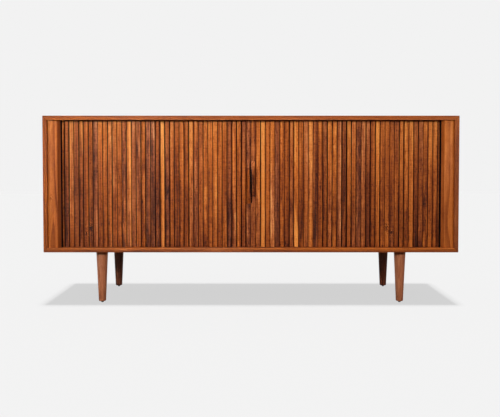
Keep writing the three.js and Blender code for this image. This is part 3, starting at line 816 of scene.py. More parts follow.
@dataclass
class Carcass:
    """The case: mitred top, bottom and sides, the front jambs and the back panel.

    Attributes:
        half_width, half_depth, bottom, top, thickness: the case's outside and its boards.
        mitre_gap: the open line left at each mitre.
        arris: radius of the boards' edges.
        jamb_width, jamb_thickness, jamb_setback, jamb_bevel, jamb_arris: the upright stile beside the opening.
        jamb_knot, jamb_knot_size: the left one's knot in z and x, and its size against a knot of 4 mm.
        jamb_bevel_shade: how much painted shade darkens the bevel of each jamb, more on the left one.
        fillet_width, fillet_thickness, fillet_arris: the near-black fillet on the jamb's inner edge, a painted shadow
        in the gap beside the curtain.
        shade_line_width: how far before and behind the slats' face the painted shade under the top reaches.
        corner_x, corner_y, corner_wall, corner_room: the centre of each track's front corner, the radius of
            its outer wall, and how far to the side the tongues need it to stand.
        wood, stained: the finishes; the second is the fillets' near-black one, a painted shadow.
    """

    half_width: float = 0.9
    half_depth: float = 0.23
    bottom: float = 0.23
    top: float = 0.822
    thickness: float = 18 * MM
    mitre_gap: float = 0.3 * MM * math.sqrt(2)
    arris: float = 0.5 * MM
    jamb_width: float = 53 * MM
    jamb_thickness: float = 17 * MM
    jamb_setback: float = 12 * MM
    jamb_bevel: float = 11 * MM
    jamb_arris: float = 0.6 * MM
    jamb_knot: tuple[float, float] = (0.465, -0.869)
    jamb_knot_size: float = 0.6
    jamb_bevel_shade: dict[Side, float] = field(default_factory=lambda: {Side.LEFT: 0.46, Side.RIGHT: 0.29})
    fillet_width: float = 6 * MM
    fillet_thickness: float = 4 * MM
    fillet_arris: float = 0.3 * MM
    shade_line_width: float = 8 * MM
    corner_x: float = 0.819
    corner_y: float = -0.139
    corner_wall: float = 56.3 * MM
    corner_room: float = 59.7 * MM
    wood: Material = field(default_factory=CASE_WALNUT.material)
    stained: Material = field(default_factory=SHADOW_BLACK_WALNUT.material)

    def squared(self, places: Array) -> Array:
        """Squares the outer wall of each track's front corner.

        The slats close up there as a door opens, and their tongues need the room. Each point of the wall
        goes out from the corner's centre until it meets the line of the front run or that of the side.

        Args:
            places: the board's points.

        Returns:
            Their new places.
        """
        side = np.abs(places[:, 0]) - self.corner_x
        ahead = self.corner_y - places[:, 1]
        wall = (side > MM) & (ahead > MM) & (np.abs(np.hypot(side, ahead) - self.corner_wall) < 0.1 * MM)
        places = places.copy()
        side, ahead = side[wall], ahead[wall]
        share = np.minimum(self.corner_room / side, self.corner_wall / ahead)
        places[wall, 0] = np.sign(places[wall, 0]) * (self.corner_x + side * share)
        places[wall, 1] = self.corner_y - ahead * share
        LOG.info("squared %d points of the track's corners", wall.sum())
        return places

    def level_boards(self) -> None:
        """Makes the top and bottom panels, with their routed tracks. Their grain runs along x.

        Their inner faces get painted light along the front edge beside the opening, the ledge above the bottom most,
        and under the top a line of painted shade lies before the track.
        """
        face_down = ((1, 0, 0), (0, 1, 0), (0, 0, -1))
        for word, timber, inner, paler, shade_line in (
            ("top", Timber(face_down, (0.4, 0, self.top + 0.010), 0.1, 0.1), self.top - self.thickness, 0.8, 1.0),
            ("bottom", Timber(LEVEL, (1.9, 0, 0.014 - self.bottom), -0.5, 0.1), self.bottom + self.thickness,
             1.7, 0.0),
        ):
            skin = merged(f"{word}_panel")
            skin.points = self.squared(skin.points)
            skin.cut_from(timber)
            facing_in = np.abs(skin.points[:, 2] - inner) < MM
            # Painted light on the front of each inner face, and a line of painted shade under the top before the
            # slats
            skin.look[:, 0] += paler * (facing_in & (skin.points[:, 1] < MM - self.half_depth))
            skin.soil_and_shade(shade_line * (facing_in & (np.abs(skin.points[:, 1] - SLAT_FACE) < self.shade_line_width)))
            stand_for(skin.piece(f"{word}_board", self.wood, self.arris), "case", "walnut_panel", f"{word}_panel")

    def side_board(self, side: Side) -> None:
        """Makes a side: a mitred outline carried from the front to the back. Its grain runs up.

        Args:
            side: which side.
        """
        inner, sign = self.half_width - self.thickness, side.value
        low, high = self.bottom + self.mitre_gap, self.top - self.mitre_gap
        corners = [(low, self.half_width), (low + self.thickness, inner),
                   (high - self.thickness, inner), (high, self.half_width)]
        skin = board(corners, -self.half_depth, self.half_depth, Run.BACK, self.arris).on(side)
        # The log's place carries the top's grain on round the mitre
        timber = Timber(((0, 0, -sign), (0, 1, 0), (-sign, 0, 0)),
                        (0.4 + sign * (self.half_width + self.top), 0, self.half_width + 0.010),
                        0.25, 0.35 if side is Side.LEFT else 0.15)
        made = skin.cut_from(timber).piece(f"{side.word}_side_board", self.wood)
        stand_for(made, "case", "walnut_panel", f"{side.word}_side_panel")

    def jamb(self, side: Side) -> None:
        """Makes a jamb, an upright whose inner front edge is bevelled, and its near-black fillet, a painted shadow in
        the gap beside the curtain. Their grain runs up.

        Args:
            side: which side.
        """
        outer = self.half_width - self.thickness
        inner = outer - self.jamb_width
        front = self.jamb_setback - self.half_depth
        back = front + self.jamb_thickness
        low, high = self.bottom + self.thickness, self.top - self.thickness
        corners = [(inner + self.jamb_bevel, front), (outer, front), (outer, back), (inner, back),
                   (inner, front + self.jamb_bevel)]
        rings = arrised(np.array([corners]), low, high, self.jamb_arris, 2, PAINTED_LIGHT_STOPS)
        # The board lies along its rings, so that they run straight up
        skin = lofted(rings).on(side).cut_from(Timber(
            ((0, 0, 1), (1, 0, 0), (0, 1, 0.002 - CASE_WALNUT.lean)),
            (5.0 + side.value, 0.007 - side.value * 0.853, 0.27), 0.45 + 0.13 * side.value, 0.0))
        # Painted light: the face is paler towards its top and towards the side board
        outwards = (np.abs(skin.points[:, 0]) - inner - self.jamb_bevel) / (self.jamb_width - self.jamb_bevel)
        skin.look[:, 0] += 0.5 * painted_top_light(skin.points[:, 2], low, high) + 0.4 * np.clip(outwards, 0, 1) - 0.15
        # Painted shade: the bevel darkens, more on the left jamb, and the inner side is dark all over. A corner has
        # three points, from the one edge's face to the next edge's: the bevel lies between the last corner's third
        # and the first corner's first, and the inner side before it
        soil_and_shade = np.zeros(rings.shape[1:3])
        soil_and_shade[:, [-1, 0]] = self.jamb_bevel_shade[side]
        soil_and_shade[:, 1] = self.jamb_bevel_shade[side] / 2
        soil_and_shade[:, -4:-1] = 1.0
        near = (skin.points[:, [2, 0]] - self.jamb_knot) / self.jamb_knot_size
        skin.mark = np.concatenate([near, soil_and_shade.reshape(-1, 1)], axis=1)
        stand_for(skin.piece(f"{side.word}_jamb_stile", self.wood), "case", "walnut_panel", f"{side.word}_jamb")

        # The near-black fillet paints the shadow in the gap between the jamb and the curtain
        inner_side, before = inner - self.fillet_width, back - self.fillet_thickness
        strip = [(inner_side, before), (inner, before), (inner, back), (inner_side, back)]
        skin = board(strip, low, high, Run.UP, self.fillet_arris).on(side).cut_from(Timber())
        stand_for(skin.piece(f"{side.word}_jamb_fillet_strip", self.stained), "case", "black_stain",
                  f"{side.word}_jamb_fillet")

    def build(self, inside_wood: Material) -> None:
        """Builds the whole case. The back panel's grain runs along x.

        Args:
            inside_wood: the finish of the back panel.
        """
        self.level_boards()
        for side in Side:
            self.side_board(side)
            self.jamb(side)
        skin = slab("back_panel", self.arris).cut_from(Timber(WALL, (2.2, 0.0, -0.19), -0.1, 0.3))
        stand_for(skin.piece("back_board", inside_wood), "case", "walnut_inside", "back_panel")


@dataclass
class Interior:
    """The linings, dividers, shelves and shelf pins that show when a door is open.

    Attributes:
        arris, shelf_arris: radius of the boards' edges and of the shelves' front edges.
        pin_radius, pin_round: a shelf pin's sizes.
        wood, steel: the finishes.
    """

    arris: float = 0.5 * MM
    shelf_arris: float = 1.2 * MM
    pin_radius: float = 2.5 * MM
    pin_round: float = 0.6 * MM
    wood: Material = field(default_factory=INSIDE_WALNUT.material)
    steel: Material = field(default_factory=ZINC_STEEL.material)

    def boards(self) -> None:
        """Makes the drilled linings and dividers, whose grain runs up, and the panel behind the shelves."""
        for number, name in enumerate(("left_side_lining", "left_divider", "right_divider", "right_side_lining")):
            skin = merged(name).cut_from(Timber(DIVIDER, (0.7 * number, 0.0, 0.02 * number), -0.1, 0.3))
            stand_for(skin.piece(f"{name}_board", self.wood, self.arris), "case", "walnut_inside", name)
        skin = slab("back_lining", self.arris).cut_from(Timber(WALL, (0.3, 0.05, -0.15), -0.05, 0.3))
        stand_for(skin.piece("back_lining_board", self.wood), "case", "walnut_inside", "back_lining")

    def shelf(self, bay: str, number: int) -> None:
        """Makes a shelf with a rounded front edge. Its grain runs along x.

        Args:
            bay: the bay's name.
            number: its place from the left, which sets its wood.
        """
        timber = Timber(LEVEL, (1.1 * number, 0.0, -0.5), 0.1 - 0.1 * number, 0.25)
        skin = slab(f"{bay}_shelf", self.shelf_arris).cut_from(timber)
        stand_for(skin.piece(f"{bay}_shelf_board", self.wood), "case", "walnut_inside", f"{bay}_shelf")

    def pins(self, bay: str) -> None:
        """Makes a shelf's four pins: turned steel pegs with rounded ends, which lie along x.

        Args:
            bay: the bay's name.
        """
        radii, rise = quarter_round(self.pin_radius, self.pin_round, 4)
        names = [f"{bay}_shelf_pin_{count}" for count in range(1, 5)]
        pegs = []
        for low, high in (np.array(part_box(name)) for name in names):
            heights = np.concatenate([low[0] + rise, high[0] - rise[::-1]])
            peg = turned(np.concatenate([radii, radii[::-1]]), heights, (low + high)[1:] / 2, 20)
            peg.points = np.roll(peg.points, Run.ACROSS.value, axis=1)
            pegs.append(peg)
        stand_for(joined(pegs).piece(f"{bay}_shelf_pegs", self.steel), "case", "zinc_steel", *names)

    def build(self) -> None:
        """Builds everything inside the case."""
        self.boards()
        for number, bay in enumerate(("left", "middle", "right")):
            self.shelf(bay, number)
            self.pins(bay)


class SlatWood(Enum):
    """The kinds of wood among the slats: their tone, coolness and distance inside the sapwood."""

    SAPWOOD = (0.3, 0.0, 0.02)
    HONEY = (0.7, 0.2, HEARTWOOD)
    ROSE = (0.5, 0.65, HEARTWOOD)
    EMBER = (0.4, -0.8, HEARTWOOD)
    RUSSET = (0.1, -0.3, HEARTWOOD)
    MAUVE = (-0.2, 0.7, HEARTWOOD)
    UMBER = (-0.5, 0.3, HEARTWOOD)


@dataclass(frozen=True)
class Flame:
    """A tongue of sapwood in a slat: it fills the slat's width at its root and narrows to its tip.

    Attributes:
        root, tip: the heights of the root and the tip.
        softness: the share of the distance to the edge that counts, which makes the edge soft.
    """

    root: float
    tip: float
    softness: float = 0.15

    def depth(self, along: Array, heights: Array, half: float) -> Array:
        """Gives how far points lie inside the sapwood, whose edge runs straight across the slat.

        Args:
            along: the points' places across the slat.
            heights: their heights.
            half: half the slat's width.

        Returns:
            The distance to the edge, times the softness.
        """
        edge = half * (1 - 2 * (heights - self.root) / (self.tip - self.root))
        return self.softness * (edge - along)


@dataclass
class TambourDoor:
    """A door: a curtain of upright slats on cloth, its lead slat, and a sculpted pull.

    The slats are counted from the middle of the case, where the lead slat is number 0.

    Attributes:
        side: the side that it slides to.
        kinds: the slats of each kind of wood, by number.
        knots: for a slat with a knot, the knot's height and its size against a knot of 4 mm.
        flames: for a slat with a tongue of sapwood, the tongue.
        loose: slats with a wide gap on both sides.
        seed: sets the other slats' wood.
        wood, canvas: the finishes.
        count, pitch, gap, thickness, bevel, arris: the curtain's slats.
        loose_trim, least_trim, more_trim: what a loose slat lacks on each side, what any other one does, and
            the most that chance adds to that.
        slack, bow, thinner, thicker: how far a slat stands to one side, bows, and differs in thickness.
        gap_shade, side_shade: how fast painted shade gathers down the bevels into the gaps, and how much painted
            shade chance lays on the sides.
        top_shade_deep, top_shade_soft: where the painted shade on a slat's top ends, and the height over which it
            fades.
        recess_shade_soft: how deep in the finger recess its walls get full painted shade.
        slat_low, slat_high: the levels of a slat's ends.
        tongue_width, tongue_thickness, tongue_low, tongue_high, tongue_arris, tongue_soil: the tongue in the
            tracks.
        cloth, cloth_inset, cloth_edge, lap: the cloth's thickness, how far its faces lie inside that, how far
            it stays inside the slats' ends, and how far it reaches behind the lead slat.
        track_front, track_end, track_radius: the cloth's back on the front run, and the first corner.
        travel: how far the door slides.
        fading: how much paler painted light makes the slats' tops than their feet, in tone.
    """

    side: Side
    kinds: dict[SlatWood, tuple[int, ...]]
    knots: dict[int, tuple[float, float]]
    flames: dict[int, Flame]
    loose: tuple[int, ...]
    seed: int
    wood: Material
    canvas: Material
    count: int = 41
    pitch: float = 20.9 * MM
    gap: float = 0.6 * MM
    thickness: float = 11 * MM
    bevel: float = 1.8 * MM
    arris: float = 0.35 * MM
    loose_trim: float = 1.7 * MM
    least_trim: float = 0.05 * MM
    more_trim: float = 1.5 * MM
    slack: float = 0.2 * MM
    bow: float = 0.6 * MM
    thinner: float = 0.25 * MM
    thicker: float = 0.2 * MM
    gap_shade: float = 2.5
    side_shade: float = 0.6
    top_shade_deep: float = 3.0 * MM
    top_shade_soft: float = 1.5 * MM
    recess_shade_soft: float = 1.2 * MM
    slat_low: float = 0.2495
    slat_high: float = 0.8025
    tongue_width: float = 13 * MM
    tongue_thickness: float = 4.7 * MM
    tongue_low: float = 0.2403
    tongue_high: float = 0.8105
    tongue_arris: float = 0.5 * MM
    tongue_soil_and_shade: float = 0.3
    cloth: float = 0.8 * MM
    cloth_inset: float = 0.05 * MM
    cloth_edge: float = 0.2 * MM
    lap: float = 10 * MM
    track_front: float = -0.189
    track_end: float = 0.819
    track_radius: float = 50 * MM
    travel: float = 0.8
    fading: float = 1.2

    @property
    def body(self) -> str:
        """The CAD body that the door is."""
        return f"{self.side.word}_door"

    def beside_track(self, centre: Array, along: Array, outward: Array) -> Array:
        """Places points beside the track.

        The heading turns from 0 after the front run's end by the distance over the radius. A point stands
        at the track's place, plus its along in the heading and its outward square to it.

        Args:
            centre: distances along the track from the middle of the case.
            along: offsets along the heading there.
            outward: offsets from the cloth's back to the slat's face.

        Returns:
            Places in x and y, for the door's side.
        """
        heading = np.maximum(centre - self.track_end, 0) / self.track_radius
        sine, cosine = np.sin(heading), np.cos(heading)
        x = np.minimum(centre, self.track_end) + self.track_radius * sine + along * cosine + outward * sine
        y = self.track_front + self.track_radius * (1 - cosine) + along * sine - outward * cosine
        return np.stack([self.side.value * x, y], axis=-1)

    def placed(self, rings: Array, log: Array, looks: Array) -> Skin:
        """Sets rings of along, outward and height beside the track, one piece for each slat.

        Args:
            rings: places by piece, ring, point and axis.
            log: each slat's place in its log.
            looks: each slat's tone, coolness and sapwood.

        Returns:
            The skin, with its wood and with its faces outwards.
        """
        centres = (np.arange(1, self.count + 1) + 0.5) * self.pitch
        plan = self.beside_track(centres[:, None, None], rings[..., 0], rings[..., 1])
        skin = lofted(np.concatenate([plan, rings[..., 2:]], axis=-1))
        skin.grain = (rings[..., [2, 0, 1]] + log[:, None, None]).reshape(-1, 3)
        skin.look = np.broadcast_to(looks[:, None, None], rings.shape).reshape(-1, 3).copy()
        return skin.turned_out() if self.side is Side.RIGHT else skin

    def woods(self, numbers: Array, chance: np.random.Generator) -> tuple[Array, Array]:
        """Chooses each slat's wood: by name where it stands out, and else by chance.

        Args:
            numbers: the slats' numbers.
            chance: the source of chance.

        Returns:
            Each slat's place in its log, and its tone, coolness and sapwood.
        """
        size = len(numbers)
        log = np.stack([chance.uniform(low, high, size) for low, high in ((0, 9), (-0.05, 0.05), (0.0, 0.06))], -1)
        looks = np.stack([np.zeros(size), chance.uniform(-0.4, 0.6, size), np.full(size, HEARTWOOD)], axis=-1)
        for kind, members in self.kinds.items():
            looks[np.isin(numbers, members)] = kind.value
        looks[:, 0] += chance.normal(0, 0.17, size)
        return log, looks

    def curtain(self) -> Piece:
        """Makes the slats and their tongues.

        A slat's outline has two straight sides and a flat face with two bevels. Each slat is a little
        thicker or thinner and nearer one neighbour than the next, as hand-fitted slats are, and bows
        sideways a little, as a parabola of its height.

        Returns:
            The curtain's slats as one piece.
        """
        chance = np.random.default_rng(self.seed)
        numbers = np.arange(1, self.count + 1)
        log, looks = self.woods(numbers, chance)
        slack = chance.uniform(-self.slack, self.slack, self.count)
        trim = self.least_trim + self.more_trim * chance.uniform(0, 1, self.count) ** 3
        trim[np.isin(numbers, self.loose)] = self.loose_trim
        bow = chance.uniform(-self.bow, self.bow, self.count)
        face = self.thickness + chance.uniform(-self.thinner, self.thicker, self.count)
        half = (self.pitch - self.gap) / 2 - trim
        inner, shoulder = np.full(self.count, self.cloth), face - self.bevel
        along = np.stack([-half, half, half, half - self.bevel, self.bevel - half, -half], -1) + slack[:, None]
        outward = np.stack([inner, inner, shoulder, face, face, shoulder], -1)
        rings = arrised(np.stack([along, outward], -1), self.slat_low, self.slat_high, self.arris, 2, PAINTED_LIGHT_STOPS)
        heights = rings[..., 2]
        share = (heights - self.slat_low) / (self.slat_high - self.slat_low)
        rings[..., 0] += bow[:, None, None] * (4 * share * (1 - share) - 0.5)
        slats = self.placed(rings, log, looks)
        look = slats.look.reshape(rings.shape)
        # Painted light: the slats are paler towards their tops
        look[..., 0] += self.fading * painted_top_light(heights, self.slat_low, self.slat_high)
        for number, flame in self.flames.items():
            look[number - 1, ..., 2] = flame.depth(rings[number - 1, ..., 0], heights[number - 1], half.max())
        marks = np.array([self.knots.get(number, (NO_KNOT, 1.0)) for number in numbers])
        knot, knot_size = marks.T[..., None, None]
        # Painted shade lies on the bevels, at the top under the case's top, and by chance on the sides beside the
        # gaps
        depth = (face[:, None, None] - rings[..., 1]) / self.bevel
        top_shade = np.clip((self.top_shade_deep - self.slat_high + heights) / self.top_shade_soft, 0, 1)
        side_shades = chance.uniform(0, self.side_shade, (2, self.count)) ** 2
        shaded_sides = np.where(rings[..., 0] < 0, *side_shades[..., None, None])
        soil_and_shade = np.maximum(np.clip(depth * self.gap_shade, 0, 1), np.maximum(top_shade, shaded_sides))
        slats.mark = np.stack([(heights - knot) / knot_size, rings[..., 0] / knot_size, soil_and_shade], -1).reshape(-1, 3)

        wide, outer = self.tongue_width / 2, self.cloth + self.tongue_thickness
        tongue = np.array([[(-wide, self.cloth), (wide, self.cloth), (wide, outer), (-wide, outer)]])
        bars = arrised(np.repeat(tongue, self.count, axis=0), self.tongue_low, self.tongue_high, self.tongue_arris, 1)
        tongues = self.placed(bars, log, looks)
        tongues.soil_and_shade(np.full(len(tongues.points), self.tongue_soil_and_shade))
        return joined([slats, tongues]).piece(f"{self.side.word}_curtain_slats", self.wood)

    def canvas_sheet(self) -> Piece:
        """Makes the cloth behind the slats: a flat strip carried along the track, with its thickness.

        Returns:
            The cloth.
        """
        end = (self.count + 1) * self.pitch - self.gap / 2
        distance = np.concatenate([[self.pitch - self.lap], np.arange(self.pitch, self.track_end, self.pitch),
                                   np.arange(self.track_end, end, self.pitch / 4), [end]])
        behind, before = self.cloth_inset, self.cloth - self.cloth_inset
        outward = np.array([behind, behind, before, before])
        low, high = self.slat_low + self.cloth_edge, self.slat_high - self.cloth_edge
        rise = np.array([low, high, high, low])
        plan = self.beside_track(distance[:, None], np.zeros((1, 4)), outward[None])
        rings = np.concatenate([plan, np.broadcast_to(rise[None, :, None], (*plan.shape[:2], 1))], axis=-1)
        skin = lofted(rings[None])
        if self.side is Side.LEFT:
            skin = skin.turned_out()
        skin.grain = np.stack([np.repeat(distance, 4), np.tile(rise, len(distance)),
                               np.zeros(4 * len(distance))], axis=-1)
        made = skin.piece(f"{self.side.word}_curtain_cloth", self.canvas)
        return made

    def squeezed(self, made: Piece) -> None:
        """Gives a soft piece a mesh of its own.

        Args:
            made: the slats or the cloth.
        """
        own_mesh(made)

    def lead_slat(self) -> None:
        """Makes the slat beside the middle, with its half of the finger recess, whose walls get painted shade."""
        sign, word = self.side.value, self.side.word
        skin = merged(f"{word}_lead_slat").cut_from(
            Timber(UPRIGHT, (6.2 + sign, 0.012 * sign, 0.22), -0.35 if self.side is Side.LEFT else 0.1, 0.35))
        # Painted light: the lead slat is paler towards its top, and its recess walls get painted shade
        skin.look[:, 0] += self.fading * painted_top_light(skin.points[:, 2], self.slat_low, self.slat_high)
        skin.soil_and_shade(np.clip((skin.points[:, 1] - SLAT_FACE) / self.recess_shade_soft, 0, 1))
        made = skin.piece(f"{word}_lead_stave", self.wood, self.arris)
        stand_for(made, self.body, "walnut_slat", f"{word}_lead_slat")

    def build(self) -> None:
        """Builds the door, all but its pull."""
        for made in (self.curtain(), self.canvas_sheet()):
            self.squeezed(stand_for(made, self.body, "walnut_slat", f"{self.side.word}_tambour_curtain"))
        self.lead_slat()


@dataclass
class Pulls:
    """The two sculpted pulls, which are one shape: the left one is the right one turned half a turn.

    Attributes:
        length, stagger, centre: the pull's length, how far the pair is staggered, and the pair's centre.
        width, crest, head_depth, tail_depth: the pull's reach over the slat, and how far it stands out.
        head_edge, waist_edge, tail_edge: the edge beside the recess.
        head_face, tail_face, arris: the flat on its crest, and the slope beside it.
        crest_share, waist_share, face_share, bulge_share: where it changes along its length.
        end_round: radius of its two ends.
        foot: how far above the slat the painted shade at its foot reaches.
        rings, round_steps: how many rings it has, and points on each arc.
    """

    length: float = 156 * MM
    stagger: float = 31.5 * MM
    centre: float = 0.533
    width: float = 19 * MM
    crest: float = 17 * MM
    head_depth: float = 4 * MM
    tail_depth: float = 3 * MM
    head_edge: float = 0.5 * MM
    waist_edge: float = 3.8 * MM
    tail_edge: float = 6.5 * MM
    head_face: float = 12 * MM
    tail_face: float = 1.5 * MM
    arris: float = 1.4 * MM
    crest_share: float = 0.2
    waist_share: float = 0.36
    face_share: float = 0.5
    bulge_share: float = 0.12
    end_round: float = 2.2 * MM
    foot: float = 5 * MM
    rings: int = 72
    round_steps: int = 4

    @property
    def head(self) -> float:
        """The level of the right one's head."""
        return self.centre + (self.length + self.stagger) / 2

    def smooth(self, share: Array, low: float, high: float) -> Array:
        """Gives a step that rises smoothly from 0 at low to 1 at high."""
        t = np.clip((share - low) / (high - low), 0, 1)
        return t * t * (3 - 2 * t)

    def skin(self) -> Skin:
        """Makes the right-hand pull, head up.

        Along its length the depth rises as a sine to the crest and falls as a power of 3/2 to the tail,
        and each end is rounded as a quarter circle. Round it, eight points that follow the flank, the
        crest and the outer slope steer a quadratic spline: each arc starts and ends halfway between
        neighbours. The points at the foot are doubled, so that the spline has its corners there.

        Returns:
            The pull's skin.
        """
        # The rings bunch towards both ends, as the cosine of half a turn does
        share = 1 - (1 - np.cos(np.linspace(0, np.pi, self.rings))) / 2
        rise = self.head_depth + (self.crest - self.head_depth) * np.sin(
            np.pi / 2 * np.minimum(share / self.crest_share, 1))
        fall = np.maximum(share - self.crest_share, 0) / (1 - self.crest_share)
        depth = np.where(share < self.crest_share, rise,
                         self.crest + (self.tail_depth - self.crest) * fall ** 1.5)
        near = np.minimum(share, 1 - share) * self.length / self.end_round
        depth = depth * (0.3 + 0.7 * np.sqrt(1 - (1 - np.clip(near, 0, 1)) ** 2))
        waist = self.smooth(share, self.crest_share / 2, self.waist_share)
        tail = np.maximum(0, (share - self.waist_share) / (1 - self.waist_share))
        edge = self.head_edge + waist * (self.waist_edge - self.head_edge) + tail * (
            self.tail_edge - self.waist_edge)
        narrow = self.smooth(share, self.crest_share / 2, self.face_share)
        far = edge + self.arris + self.head_face + narrow * (self.tail_face - self.head_face)
        foot, wide, bulge = np.zeros_like(share), np.full_like(share, self.width), depth * self.bulge_share
        across = [edge, edge, edge, edge + self.arris, far, (far + self.width) / 2 + bulge, wide, wide]
        out = [foot, foot, depth - np.minimum(self.arris, depth / 2), depth, depth, depth / 2 + bulge, foot, foot]
        steer = np.stack([np.stack(across, -1), np.stack(out, -1)], axis=-1)
        t = np.arange(self.round_steps) / self.round_steps
        weights = np.stack([(1 - t) ** 2 / 2, 0.5 + t * (1 - t), t ** 2 / 2])
        trio = np.stack([np.roll(steer, 1, axis=1), steer, np.roll(steer, -1, axis=1)])
        curve = np.einsum("kt,krpa->rpta", weights, trio).reshape(self.rings, -1, 2)
        z = np.broadcast_to((self.head - self.length * share)[:, None], curve.shape[:2])
        return lofted(np.stack([curve[..., 0], SLAT_FACE - curve[..., 1], z], axis=-1)[None])

    def build(self, wood: Material) -> None:
        """Builds both pulls.

        Args:
            wood: the slats' finish.
        """
        right = self.skin()
        left = Skin(right.points * np.array([-1, 1, -1]) + np.array([0, 0, 2 * self.centre]), right.faces)
        # Painted shade darkens the feet of both, where they meet the slat, and the lower part of the right one
        foot = np.clip(1 + (right.points[:, 1] - SLAT_FACE) / self.foot, 0, 1)
        down = self.head - right.points[:, 2]
        for side, skin, tone, tail in ((Side.RIGHT, right, 0.25, 2.2), (Side.LEFT, left, -0.3, 0.0)):
            skin.cut_from(Timber(UPRIGHT, (2.0 + side.value, 0.01 * side.value, 0.23), tone, 0.1))
            skin.look[:, 0] -= tail * np.clip(down / self.length - 0.15, 0, 0.6)
            skin.soil_and_shade(0.8 * foot)
            made = skin.piece(f"{side.word}_pull_carved", wood, flat=False)
            stand_for(made, f"{side.word}_door", "walnut_slat", f"{side.word}_pull")


@dataclass
class TurnedLegs:
    """The four tapered legs, with the glide under each and the hardware that holds it.

    Attributes:
        x, y: how far the legs stand from the middle.
        low, high: the leg's foot and top.
        top_radius, foot_radius, foot_round: the taper, and the round at the foot.
        glide_radius, glide_round: the glide's sizes.
        wood, nylon: the finishes.
    """

    x: float = 0.66
    y: float = 0.17
    low: float = 6 * MM
    high: float = 0.23
    top_radius: float = 25.5 * MM
    foot_radius: float = 15.75 * MM
    foot_round: float = 3 * MM
    glide_radius: float = 5.5 * MM
    glide_round: float = 1.5 * MM
    wood: Material = field(default_factory=LEG_WALNUT.material)
    nylon: Material = field(default_factory=BLACK_NYLON.material)

    def leg(self, centre: tuple[float, float]) -> Skin:
        """Turns a leg: a quarter round at the foot, then a straight taper.

        Args:
            centre: the leg's axis.

        Returns:
            The leg's skin.
        """
        radii, rise = quarter_round(self.foot_radius, self.foot_round, 8)
        heights = self.low + rise
        share = np.linspace(0, 1, 12)[1:]
        radii = np.append(radii, self.foot_radius + share * (self.top_radius - self.foot_radius))
        heights = np.append(heights, heights[-1] + share * (self.high - heights[-1]))
        return turned(radii, heights, centre, 64)

    def glide(self, centre: tuple[float, float]) -> Skin:
        """Turns a glide: a short peg with a rounded foot."""
        radii, rise = quarter_round(self.glide_radius, self.glide_round, 5)
        return turned(np.append(radii, self.glide_radius), np.append(rise, self.low), centre, 28)

    def build(self, steel: Material) -> None:
        """Builds the legs and glides, and dresses the bolts and inserts.

        Args:
            steel: the hardware's finish.
        """
        for number, (end, y) in enumerate((("front", -self.y), ("back", self.y))):
            for side in Side:
                word, centre = f"{end}_{side.word}", (side.value * self.x, y)
                # Painted shade makes the back legs dark, as under the case, and painted light makes the front left
                # leg a little paler
                tone = 0.33 - 0.08 * side.value if end == "front" else -1.3
                shift = (0.6 * number + side.value, 0.03 - centre[0], 0.04 - y)
                made = self.leg(centre).cut_from(Timber(UPRIGHT, shift, tone, 0.2))
                stand_for(made.piece(f"{word}_leg_turned", self.wood), "case", "walnut_leg", f"{word}_leg")
                peg = self.glide(centre).piece(f"{word}_glide_moulded", self.nylon)
                stand_for(peg, "case", "black_plastic", f"{word}_glide")
                for hidden in ("hanger_bolt", "threaded_insert"):
                    dress(f"{word}_{hidden}", steel)


# Studio


